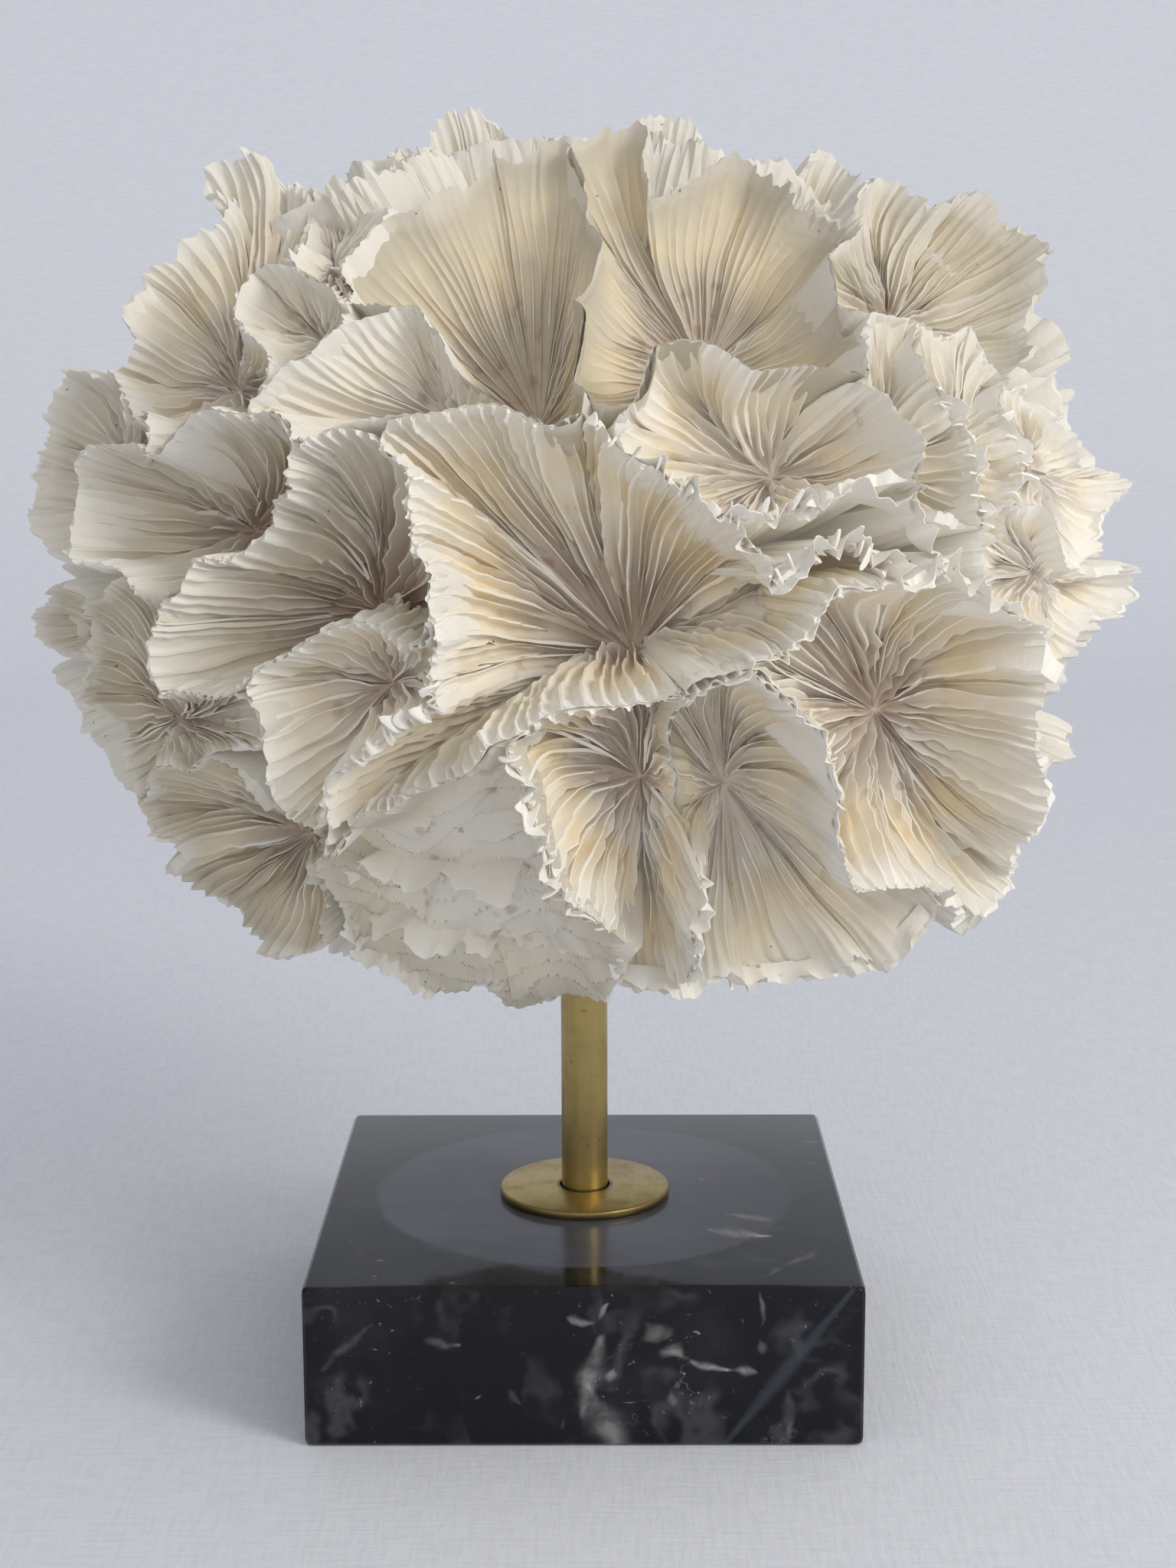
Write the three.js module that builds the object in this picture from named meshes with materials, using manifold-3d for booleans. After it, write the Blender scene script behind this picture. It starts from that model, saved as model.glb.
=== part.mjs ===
// Mushroom coral on a stand: a bleached colony of fan-shaped cups on a brass rod,
// with a brass washer and a square base of polished black marble.
// Millimetres, +Z up, the front towards -Y, origin at the centre of the base's underside.
import * as THREE from 'three';
import { mergeVertices } from 'three/addons/utils/BufferGeometryUtils.js';
import Module from 'manifold-3d';

const wasm = await Module();
wasm.setup();

// Marble base
const BASE_SIDE = 100;
const BASE_HEIGHT = 30;
const BASE_CHAMFER = 1.5;

// Brass rod and washer
const ROD_DIAMETER = 9;
const ROD_BOTTOM = 10.5;
const ROD_TOP = 99.5;
const WASHER_DIAMETER = 33;
const WASHER_THICKNESS = 1.7;
const WASHER_EDGE = 0.3;
const BORE_DIAMETER = 9.8;
const BORE_END_GAP = 0.5;
const BORE_OVERRUN = 5;
const ROUND_FACETS = 32;

// Coral colony
const COLONY_CENTRE = new THREE.Vector3(2, 5, 151);
const COLONY_HALF = new THREE.Vector3(104, 88, 84);
const CORE_HALF = new THREE.Vector3(54, 44, 42);
const CORE_FACETS = 24;
const CORE_RINGS = 14;
const FOOT_RADIUS = 34;
const FOOT_TOP_RADIUS = 47.6;
const FOOT_BOTTOM = 78;
const CREST_STEP = 5.5;
const HIDDEN_CREST_STEP = 12;
const FOLD_RISE = 2.4;
const RAGGED = 1.4;
const RAGGED_WAVE = new THREE.Vector3(0.129, 0.782, 0.377);
const RAGGED_GAIN = 43.7;
const BOWL_BEND = 1.5;
const BOWL_RING = 0.5;
const ROOT_DEPTH = 0.25;
const SLIVER = 0.05;

// Crest points: the ridges where two neighbouring cups meet, from the photograph's side of the colony.
// Each line runs one way along its crest, and a cup's rim is a chain of such lines.
const CREST = {
  heartTop: [[-27, -70, 180], [-17, -69, 182], [-7, -71, 180], [0, -71, 181], [6, -73, 176], [14, -74, 172],
    [24, -73, 170]],
  channel: [[30, -78, 160], [40, -73, 164], [49, -71, 162]],
  heartFlower: [[48, -75, 157], [35, -80, 150]],
  chinTop: [[26, -83, 145], [15, -80, 142], [7, -78, 140]],
  tongue: [[-5, -84, 135], [-19, -79, 125], [-40, -64, 114]],
  heartTuck: [[-40, -70, 121], [-34, -76, 128], [-31, -77, 132], [-20, -80, 137], [-22, -80, 142]],
  heartEye: [[-23, -82, 153], [-23, -80, 164], [-25, -76, 171], [-30, -72, 177]],
  eyeTuck: [[-26, -76, 147], [-37, -71, 146], [-52, -67, 139]],
  eyeFlank: [[-55, -65, 135], [-68, -56, 133], [-71, -57, 139], [-69, -58, 151]],
  eyeLeft: [[-61, -61, 157], [-51, -62, 163], [-47, -62, 166], [-45, -64, 174], [-47, -62, 181]],
  eyeTop: [[-38, -69, 180]],
  leftTop: [[-71, -47, 179], [-61, -52, 185], [-51, -58, 185]],
  leftRim: [[-84, -40, 157], [-87, -36, 162], [-85, -34, 177]],
  leftLow: [[-69, -54, 152], [-77, -48, 155]],
  tuckLow: [[-44, -64, 118], [-49, -62, 120], [-51, -66, 129]],
  petal: [[-55, -52, 186], [-51, -55, 189], [-47, -54, 193], [-41, -52, 198], [-29, -53, 200],
    [-21, -60, 189], [-13, -64, 182]],
  greatRim: [[-36, -42, 200], [-38, -32, 208], [-37, -25, 215], [-26, -22, 218], [-9, -15, 226],
    [0, -15, 227],
    [8, -12, 230], [16, -18, 219], [27, -14, 227], [34, -18, 220], [43, -24, 215], [45, -32, 209],
    [45, -42, 201], [46, -55, 192]],
  fold: [[0, -27, 217], [1, -42, 207], [2, -61, 187]],
  browTop: [[8, -66, 183], [17, -62, 193], [30, -63, 190], [39, -60, 191]],
  browRight: [[50, -62, 184], [53, -66, 177], [53, -68, 171]],
  browLow: [[43, -71, 170], [32, -72, 170]],
  crown: [[52, -8, 224], [57, -5, 223], [62, -10, 216], [71, -2, 219], [82, -2, 213], [83, -15, 200],
    [78, -25, 192], [72, -38, 187]],
  crownLow: [[66, -30, 198], [57, -42, 196], [50, -46, 199]],
  inner: [[57, -52, 189], [60, -56, 182], [61, -60, 175], [62, -64, 166]],
  innerLow: [[54, -69, 165]],
  outer: [[71, -42, 184], [73, -48, 175], [72, -52, 169]],
  lobeHigh: [[78, -30, 186], [86, -22, 180], [101, -8, 170], [99, -10, 166], [92, -20, 161], [86, -28, 158],
    [76, -46, 163]],
  lobeLow: [[97, -14, 153], [101, -10, 148], [98, -12, 142], [90, -24, 142], [80, -40, 143]],
  flowerTop: [[52, -73, 158], [60, -69, 159], [69, -60, 153]],
  flowerRim: [[75, -54, 147], [79, -48, 136], [77, -44, 124], [82, -32, 111], [79, -28, 104], [78, -22, 96],
    [68, -34, 94]],
  flowerChin: [[61, -52, 102], [49, -66, 106], [43, -74, 113], [40, -80, 123], [34, -83, 135]],
  chinMid: [[17, -54, 126], [18, -56, 116], [18, -68, 107]],
  chinLow: [[59, -40, 93], [53, -40, 88], [38, -38, 83], [27, -44, 87], [17, -46, 83], [7, -46, 83]],
  chinLeft: [[3, -66, 101], [-1, -76, 111], [-6, -83, 123], [-7, -84, 131]],
  lowRim: [[-42, -58, 111], [-45, -40, 93], [-49, -36, 89], [-63, -24, 91], [-73, -20, 97], [-73, -30, 107],
    [-81, -26, 113], [-73, -40, 121], [-62, -52, 125]],
  flankRim: [[-83, -28, 126], [-87, -28, 134], [-86, -30, 149]],
  tabRim: [[-89, -20, 149], [-103, 5, 144], [-106, 8, 141], [-102, 5, 138], [-89, -18, 139]],
  sideRim: [[-90, -24, 159], [-98, -12, 160], [-100, -8, 174], [-96, -10, 184], [-90, -14, 187],
    [-83, -22, 189]],
  fanRim: [[-78, -20, 195], [-77, -10, 205], [-66, -2, 216], [-67, 8, 225], [-59, 6, 226], [-50, -12, 214]],
  smallFan: [[-52, -50, 190], [-56, -40, 197], [-57, -34, 202], [-54, -30, 206], [-47, -34, 207],
    [-41, -40, 204]],
  backTab: [[-51, 2, 223], [-40, -10, 219]],
  skirtRim: [[-9, -26, 76], [-15, -36, 83], [-23, -32, 81], [-33, -34, 84], [-40, -36, 87], [-40, -48, 96]],
  topLeft: [[-38, 12, 220], [-38, 22, 232], [-31, 24, 231], [-26, 26, 236], [-18, 28, 237], [-9, 24, 229],
    [-12, 2, 220], [-26, -8, 214]],
  topMid: [[9, 22, 232], [18, 28, 236], [23, 20, 224], [20, -2, 216], [8, 2, 220]],
  topRight: [[40, 8, 219], [43, 14, 228], [49, 16, 229], [52, 2, 213], [46, -12, 205], [38, -6, 210]],
};

// Cups of the photographed side: the deepest point, and the crest lines round it
// with the first and last point of each.
const TRACED_CUPS = [
  { floor: [9, -46, 142], rim: 'heartTop 0 6, channel 0 2, heartFlower 0 1, chinTop 0 2, tongue 0 2, '
    + 'heartTuck 0 4, heartEye 0 3' },
  { floor: [-35, -44, 149], rim: 'heartEye 3 0, eyeTuck 0 2, eyeFlank 0 3, eyeLeft 0 4, eyeTop 0 0' },
  { floor: [-57, -30, 162], rim: 'leftTop 0 2, eyeLeft 4 0, leftLow 0 1, leftRim 0 2' },
  { floor: [-31, -60, 139], rim: 'eyeTuck 2 0, heartEye 0 0, heartTuck 4 0, tuckLow 0 2' },
  { floor: [-20, -54, 181], rim: 'petal 0 6, heartTop 2 0, eyeTop 0 0, eyeLeft 4 4, leftTop 2 2' },
  { floor: [-7, -40, 180], rim: 'greatRim 0 5, fold 0 2, heartTop 3 2, petal 6 4' },
  { floor: [21, -34, 189], rim: 'greatRim 5 13, browTop 3 0, fold 2 0' },
  { floor: [32, -48, 172], rim: 'browTop 0 3, greatRim 13 13, browRight 0 2, browLow 0 1, heartTop 6 4' },
  { floor: [54, -24, 197], rim: 'greatRim 11 11, crown 0 7, crownLow 0 2, greatRim 12 12' },
  { floor: [50, -54, 174], rim: 'greatRim 13 13, crownLow 2 1, inner 0 3, innerLow 0 0, browRight 2 0' },
  { floor: [62, -46, 174], rim: 'crownLow 1 0, crown 7 7, outer 0 2, inner 3 0' },
  { floor: [79, -22, 172], rim: 'crown 7 7, lobeHigh 0 6, outer 2 0' },
  { floor: [80, -26, 154], rim: 'lobeHigh 6 5, lobeLow 0 4, flowerRim 0 0, flowerTop 2 2, inner 3 3, '
    + 'outer 2 2' },
  { floor: [51, -38, 131], rim: 'chinTop 0 0, heartFlower 1 0, flowerTop 0 2, flowerRim 0 6, '
    + 'flowerChin 0 4' },
  { floor: [10, -52, 122], rim: 'chinTop 2 1, chinMid 0 2, chinLow 4 5, chinLeft 0 3, tongue 0 0' },
  { floor: [24, -52, 121], rim: 'chinTop 1 0, flowerChin 4 0, chinLow 0 4, chinMid 2 0' },
  { floor: [-46, -44, 111], rim: 'lowRim 8 8, tuckLow 1 0, lowRim 0 7' },
  { floor: [-70, -36, 130], rim: 'leftLow 1 0, eyeFlank 3 0, tuckLow 2 2, lowRim 8 6, flankRim 0 2' },
  { floor: [-88, -10, 143], rim: 'tabRim 4 0' },
  { floor: [-82, -14, 171], rim: 'sideRim 0 5, leftTop 0 0, leftRim 2 1' },
  { floor: [-59, -30, 186], rim: 'sideRim 5 5, fanRim 0 5, smallFan 3 0, petal 0 0, leftTop 2 0' },
  { floor: [-43, -38, 194], rim: 'smallFan 0 5, greatRim 0 0, petal 3 1' },
  { floor: [-43, -24, 206], rim: 'fanRim 5 5, backTab 0 1, greatRim 2 0, smallFan 5 4' },
  { floor: [-20, -60, 115], rim: 'tongue 2 0, chinLeft 3 0, chinLow 5 5, skirtRim 0 5, lowRim 0 0' },
  { floor: [-24, 2, 211], rim: 'topLeft 0 7' },
  { floor: [15, 6, 211], rim: 'topMid 0 4' },
  { floor: [45, 2, 206], rim: 'topRight 0 5' },
];

// Cups of the hidden side: azimuth and elevation of the middle, reach across and up, depth and rim
// as shares of the colony's half size.
const ROUND_CUPS = [
  { azimuth: -120, elevation: 56, across: 24, up: 18, floor: 0.66, rim: 0.93 },
  { azimuth: 172, elevation: 70, across: 28, up: 22, floor: 0.66, rim: 0.95 },
  { azimuth: 118, elevation: 52, across: 24, up: 18, floor: 0.66, rim: 0.92 },
  { azimuth: -136, elevation: 34, across: 30, up: 26, floor: 0.62, rim: 0.95 },
  { azimuth: 176, elevation: 40, across: 30, up: 26, floor: 0.58, rim: 1 },
  { azimuth: 132, elevation: 34, across: 28, up: 24, floor: 0.62, rim: 0.93 },
  { azimuth: -112, elevation: -2, across: 22, up: 28, floor: 0.66, rim: 0.92 },
  { azimuth: -152, elevation: -6, across: 28, up: 26, floor: 0.6, rim: 1 },
  { azimuth: 164, elevation: -4, across: 30, up: 28, floor: 0.56, rim: 1 },
  { azimuth: 122, elevation: -4, across: 24, up: 26, floor: 0.64, rim: 0.94 },
  { azimuth: -112, elevation: -42, across: 32, up: 22, floor: 0.66, rim: 0.98 },
  { azimuth: -176, elevation: -44, across: 38, up: 24, floor: 0.62, rim: 0.97 },
  { azimuth: 112, elevation: -42, across: 32, up: 24, floor: 0.66, rim: 0.92 },
  { azimuth: -75, elevation: -68, across: 24, up: 14, floor: 0.66, rim: 0.8 },
  { azimuth: 75, elevation: -68, across: 24, up: 14, floor: 0.66, rim: 0.8 },
  { azimuth: 180, elevation: -74, across: 40, up: 16, floor: 0.72, rim: 0.92 },
  { azimuth: 97, elevation: 3, across: 17, up: 22, floor: 0.62, rim: 0.87 },
  { azimuth: 99, elevation: 32, across: 16, up: 17, floor: 0.64, rim: 0.87 },
  { azimuth: -99, elevation: 28, across: 16, up: 18, floor: 0.64, rim: 0.89 },
];
const ROUND_RIM_POINTS = 10;
const ROUND_OVAL = 0.16;
const ROUND_OVAL_PHASE = 1.7;
const ROUND_LOBES = 0.13;
const ROUND_LOBES_PHASE = 2.3;
const ROUND_TILT = 0.04;
const ROUND_TILT_PHASE = 1.3;
const ROUND_WAVE = 0.03;

const MARBLE = new THREE.MeshStandardMaterial({ color: 0x15161a, roughness: 0.12, metalness: 0 });
const BRASS = new THREE.MeshStandardMaterial({ color: 0xa88a45, roughness: 0.38, metalness: 1 });
const CORAL = new THREE.MeshStandardMaterial({ color: 0xece8dc, roughness: 0.8, metalness: 0 });

function toSolid(geometry) {
  const bare = geometry.clone();
  bare.deleteAttribute('normal');
  bare.deleteAttribute('uv');
  const merged = mergeVertices(bare, 1e-4);
  const vertProperties = Float32Array.from(merged.attributes.position.array);
  const triVerts = Uint32Array.from(merged.index.array);
  return new wasm.Manifold(new wasm.Mesh({ numProp: 3, vertProperties, triVerts }));
}

function toGeometry(solid) {
  const mesh = solid.getMesh();
  const geometry = new THREE.BufferGeometry();
  geometry.setAttribute('position', new THREE.BufferAttribute(mesh.vertProperties, 3));
  geometry.setIndex(new THREE.BufferAttribute(mesh.triVerts, 1));
  geometry.computeVertexNormals();
  return geometry;
}

function uprightCylinder(diameter, bottom, top) {
  const geometry = new THREE.CylinderGeometry(diameter / 2, diameter / 2, top - bottom, ROUND_FACETS);
  geometry.rotateX(Math.PI / 2);
  geometry.translate(0, 0, (bottom + top) / 2);
  return geometry;
}

function marbleBase() {
  const half = BASE_SIDE / 2 - BASE_CHAMFER;
  const cut = half - BASE_CHAMFER;
  const outline = new THREE.Shape();
  outline.moveTo(-cut, -half);
  outline.lineTo(cut, -half);
  outline.lineTo(half, -cut);
  outline.lineTo(half, cut);
  outline.lineTo(cut, half);
  outline.lineTo(-cut, half);
  outline.lineTo(-half, cut);
  outline.lineTo(-half, -cut);
  outline.closePath();
  const block = new THREE.ExtrudeGeometry(outline, {
    depth: BASE_HEIGHT - 2 * BASE_CHAMFER,
    bevelThickness: BASE_CHAMFER,
    bevelSize: BASE_CHAMFER,
    bevelSegments: 1,
  });
  block.translate(0, 0, BASE_CHAMFER);
  const bore = uprightCylinder(BORE_DIAMETER, ROD_BOTTOM - BORE_END_GAP, BASE_HEIGHT + BORE_OVERRUN);
  return toGeometry(toSolid(block).subtract(toSolid(bore)));
}

function brassWasher() {
  const inner = BORE_DIAMETER / 2;
  const outer = WASHER_DIAMETER / 2;
  const profile = [
    new THREE.Vector2(inner, 0),
    new THREE.Vector2(outer, 0),
    new THREE.Vector2(outer, WASHER_THICKNESS - WASHER_EDGE),
    new THREE.Vector2(outer - WASHER_EDGE, WASHER_THICKNESS),
    new THREE.Vector2(inner, WASHER_THICKNESS),
    new THREE.Vector2(inner, 0),
  ];
  const geometry = new THREE.LatheGeometry(profile, ROUND_FACETS);
  geometry.rotateX(Math.PI / 2);
  geometry.translate(0, 0, BASE_HEIGHT);
  return geometry;
}

function tracedCup(cup) {
  const rim = [];
  for (const stretch of cup.rim.split(', ')) {
    const [line, first, last] = stretch.split(' ');
    const step = Number(last) < Number(first) ? -1 : 1;
    for (let i = Number(first); i !== Number(last) + step; i += step) {
      rim.push(new THREE.Vector3(...CREST[line][i]));
    }
  }
  return { floor: new THREE.Vector3(...cup.floor), rim, spacing: CREST_STEP };
}

function onColony(direction, share) {
  return direction.clone().multiply(COLONY_HALF).multiplyScalar(share).add(COLONY_CENTRE);
}

function roundCup(cup, number) {
  const azimuth = THREE.MathUtils.degToRad(cup.azimuth);
  const elevation = THREE.MathUtils.degToRad(cup.elevation);
  const middle = new THREE.Vector3(Math.sin(azimuth), -Math.cos(azimuth), 0);
  middle.multiplyScalar(Math.cos(elevation));
  middle.z = Math.sin(elevation);
  const east = new THREE.Vector3(Math.cos(azimuth), Math.sin(azimuth), 0);
  const north = middle.clone().cross(east);
  const rim = [];
  for (let i = 0; i < ROUND_RIM_POINTS; i += 1) {
    const turn = number - (2 * Math.PI * i) / ROUND_RIM_POINTS;
    const oval = ROUND_OVAL * Math.sin(2 * turn + ROUND_OVAL_PHASE * number);
    const lobes = ROUND_LOBES * Math.sin(3 * turn + ROUND_LOBES_PHASE * number);
    const spread = Math.hypot(cup.across * Math.cos(turn), cup.up * Math.sin(turn));
    const reach = THREE.MathUtils.degToRad((1 + oval + lobes) * spread);
    const tangent = east.clone().multiplyScalar(Math.cos(turn)).addScaledVector(north, Math.sin(turn));
    const direction = middle.clone().multiplyScalar(Math.cos(reach));
    direction.addScaledVector(tangent, Math.sin(reach));
    const tilt = ROUND_TILT * Math.sin(turn + ROUND_TILT_PHASE * number);
    const wave = ROUND_WAVE * Math.sin(3 * turn + number);
    rim.push(onColony(direction, cup.rim * (1 + tilt + wave)));
  }
  return { floor: onColony(middle, cup.floor), rim, spacing: HIDDEN_CREST_STEP };
}

function ragged(point) {
  const wave = Math.sin(point.dot(RAGGED_WAVE)) * RAGGED_GAIN;
  const share = 2 * (wave - Math.floor(wave)) - 1;
  const outward = point.clone().sub(COLONY_CENTRE).normalize();
  return point.clone().addScaledVector(outward, RAGGED * share);
}

// Two cups that share a crest get the same points along it, whichever way round they follow it.
function crestChain(rim, spacing) {
  const chain = [];
  rim.forEach((start, i) => {
    const end = rim[(i + 1) % rim.length];
    const forward = start.x - end.x || start.y - end.y || start.z - end.z;
    const steps = Math.max(1, Math.round(start.distanceTo(end) / spacing));
    for (let k = 0; k < steps; k += 1) {
      const onward = start.clone().lerp(end, k / steps);
      const back = end.clone().lerp(start, (steps - k) / steps);
      chain.push(ragged(forward > 0 ? onward : back));
    }
  });
  return chain;
}

// One cup as a closed solid: a folded bowl inside, a ragged rim,
// and an outside that narrows to a root past the middle of the colony.
function cupSolid({ floor, rim, spacing }) {
  const crest = crestChain(rim, spacing);
  const count = crest.length;
  const axis = floor.clone().sub(COLONY_CENTRE).normalize();
  const root = COLONY_CENTRE.clone().lerp(floor, -ROOT_DEPTH);
  const bowl = crest.map((point, i) => {
    const span = point.clone().sub(floor);
    const rise = axis.clone().multiplyScalar(span.dot(axis));
    const run = span.clone().sub(rise);
    const fold = i % 2 === 0 ? 0 : FOLD_RISE;
    return floor.clone().addScaledVector(run, 1 - (1 - BOWL_RING) ** BOWL_BEND)
      .addScaledVector(rise, BOWL_RING ** BOWL_BEND).addScaledVector(axis, fold);
  });
  const points = [floor, ...bowl, ...crest, root];
  const triangles = [];
  for (let i = 0; i < count; i += 1) {
    const next = (i + 1) % count;
    const here = [1 + i, 1 + count + i];
    const there = [1 + next, 1 + count + next];
    triangles.push(0, there[0], here[0]);
    triangles.push(here[0], there[0], there[1]);
    triangles.push(here[0], there[1], here[1]);
    triangles.push(here[1], there[1], points.length - 1);
  }
  const geometry = new THREE.BufferGeometry().setFromPoints(points);
  geometry.setIndex(triangles);
  return toSolid(geometry);
}

function coralColony() {
  const cups = [...TRACED_CUPS.map(tracedCup), ...ROUND_CUPS.map(roundCup)];
  const core = new THREE.SphereGeometry(1, CORE_FACETS, CORE_RINGS);
  core.scale(CORE_HALF.x, CORE_HALF.y, CORE_HALF.z);
  core.translate(COLONY_CENTRE.x, COLONY_CENTRE.y, COLONY_CENTRE.z);
  const footHeight = COLONY_CENTRE.z - FOOT_BOTTOM;
  const foot = new THREE.CylinderGeometry(FOOT_TOP_RADIUS, FOOT_RADIUS, footHeight, CORE_FACETS);
  foot.rotateX(Math.PI / 2);
  foot.translate(0, 0, (COLONY_CENTRE.z + FOOT_BOTTOM) / 2);
  let colony = toSolid(core).add(toSolid(foot));
  for (const cup of cups) {
    colony = colony.add(cupSolid(cup));
  }
  const bore = uprightCylinder(BORE_DIAMETER, 0, ROD_TOP + BORE_END_GAP);
  const pieces = colony.subtract(toSolid(bore)).setTolerance(SLIVER).decompose();
  pieces.sort((a, b) => b.volume() - a.volume());
  return toGeometry(pieces[0]);
}

function named(name, geometry, material) {
  const mesh = new THREE.Mesh(geometry, material);
  mesh.name = name;
  return mesh;
}

const stand = new THREE.Group();
stand.add(named('marble_base', marbleBase(), MARBLE));
stand.add(named('brass_disc', brassWasher(), BRASS));
stand.add(named('brass_rod', uprightCylinder(ROD_DIAMETER, ROD_BOTTOM, ROD_TOP), BRASS));

const object = new THREE.Group();
object.add(stand);
object.add(named('coral', coralColony(), CORAL));

export default object;
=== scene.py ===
import math

import bmesh
import bpy
import numpy as np
from mathutils import Matrix, Vector


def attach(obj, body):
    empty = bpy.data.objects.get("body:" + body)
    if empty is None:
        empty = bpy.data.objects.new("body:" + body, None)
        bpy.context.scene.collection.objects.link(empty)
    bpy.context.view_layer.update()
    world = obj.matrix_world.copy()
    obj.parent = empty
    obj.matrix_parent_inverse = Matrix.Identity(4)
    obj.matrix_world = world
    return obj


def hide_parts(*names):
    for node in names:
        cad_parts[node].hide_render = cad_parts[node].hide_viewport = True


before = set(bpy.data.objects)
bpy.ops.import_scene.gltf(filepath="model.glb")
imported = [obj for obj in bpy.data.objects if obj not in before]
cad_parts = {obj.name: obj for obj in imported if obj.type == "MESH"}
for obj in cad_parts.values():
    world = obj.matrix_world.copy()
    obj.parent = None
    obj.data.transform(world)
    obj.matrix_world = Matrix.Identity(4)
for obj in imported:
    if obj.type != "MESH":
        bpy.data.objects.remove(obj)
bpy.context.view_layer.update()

# Marble base
# A square slab of black marble, sawn, chamfered and polished. The real slab has a hole drilled in it for the
# rod; this one is made solid.
# White calcite fills its old cracks, and a dull round film lies on the top.
MM = 0.001
SLAB_SIDE = 100 * MM
SLAB_HEIGHT = 30 * MM
SLAB_EDGE = 1.5 * MM
SLAB_EDGE_STEPS = 3
SLAB_EDGE_PROFILE = 0.6
SLAB_CREASE = math.radians(35)
TOP_START = 29.2 * MM
TOP_FULL = 29.7 * MM
FILM_RADIUS = 41 * MM
FILM_SOFT_IN = 1.5 * MM
FILM_SOFT_OUT = 0.5 * MM
VEIN_SWAY = (9 * MM, 9 * MM, 9 * MM)
MARBLE_BLACK = (0.0045, 0.005, 0.0068, 1)
MARBLE_SMOKE = (0.018, 0.019, 0.025, 1)
MARBLE_GREY = (0.15, 0.155, 0.18, 1)
MARBLE_FILM = (0.075, 0.082, 0.106, 1)
MARBLE_BLUE = (0.055, 0.060, 0.085, 1)
CALCITE = (0.55, 0.55, 0.54, 1)


class Tone:
    """One socket in a finish's node tree. Sums on tones are written as plain expressions."""

    def __init__(self, tree, socket=None):
        self.tree = tree
        self.socket = socket

    def node(self, kind, settings=None, inputs=None, output=0):
        made = self.tree.nodes.new(kind)
        for name, value in (settings or {}).items():
            setattr(made, name, value)
        for key, value in (inputs or {}).items():
            if isinstance(value, Tone):
                self.tree.links.new(value.socket, made.inputs[key])
            else:
                made.inputs[key].default_value = value
        return Tone(self.tree, made.outputs[output])

    def maths(self, operation, left, right):
        return self.node("ShaderNodeMath", {"operation": operation}, {0: left, 1: right})

    def __add__(self, other):
        return self.maths("ADD", self, other)

    def __radd__(self, other):
        return self.maths("ADD", other, self)

    def __sub__(self, other):
        return self.maths("SUBTRACT", self, other)

    def __rsub__(self, other):
        return self.maths("SUBTRACT", other, self)

    def __mul__(self, other):
        return self.maths("MULTIPLY", self, other)

    def __rmul__(self, other):
        return self.maths("MULTIPLY", other, self)

    def __abs__(self):
        return self.maths("ABSOLUTE", self, 0.0)

    def rise(self, low, high):
        """0 below low, 1 above high, and a soft step between them."""
        settings = {"interpolation_type": "SMOOTHSTEP"}
        return self.node("ShaderNodeMapRange", settings, {0: self, 1: low, 2: high})

    def fall(self, low, high):
        return 1 - self.rise(low, high)

    def between(self, first, second):
        """first where this tone is 0, second where it is 1."""
        return self.node("ShaderNodeMix", {"data_type": "RGBA"}, {0: self, 6: first, 7: second}, 2)

    def vector(self, operation, other, output=0):
        return self.node("ShaderNodeVectorMath", {"operation": operation}, {0: self, 1: other}, output)

    def noise(self, scale, detail=2.0, rough=0.5, stretch=(1, 1, 1)):
        """Cloudy noise over the place this tone gives, scale in patches per metre."""
        spot = self
        if stretch != (1, 1, 1):
            spot = self.vector("MULTIPLY", stretch)
        inputs = {"Vector": spot, "Scale": scale, "Detail": detail, "Roughness": rough}
        return self.node("ShaderNodeTexNoise", {}, inputs)

    def axis(self, name):
        return self.node("ShaderNodeSeparateXYZ", {}, {0: self}, "XYZ".index(name))

    def along(self, direction):
        return self.vector("DOT_PRODUCT", direction, "Value")

    def away(self, point):
        return self.vector("DISTANCE", point, "Value")

    def moved(self, other):
        return self.vector("ADD", other)

    def nearness(self, first, last, width):
        """1 on the straight line between two points in millimetres, falling to 0 at width from it,
        and sooner towards both ends, so that the line tapers."""
        first, last = Vector(first) * MM, Vector(last) * MM
        course = last - first
        start = self.moved(tuple(-first))
        share = start.along(tuple(course / course.length_squared))
        share = share.node("ShaderNodeClamp", {}, {0: share})
        scaled = {0: tuple(course), "Scale": share}
        gap = start.away(share.node("ShaderNodeVectorMath", {"operation": "SCALE"}, scaled))
        off = 2 * share - 1
        return (gap * (1 + 2.4 * off * off)).fall(0.1 * width * MM, width * MM)


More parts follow.
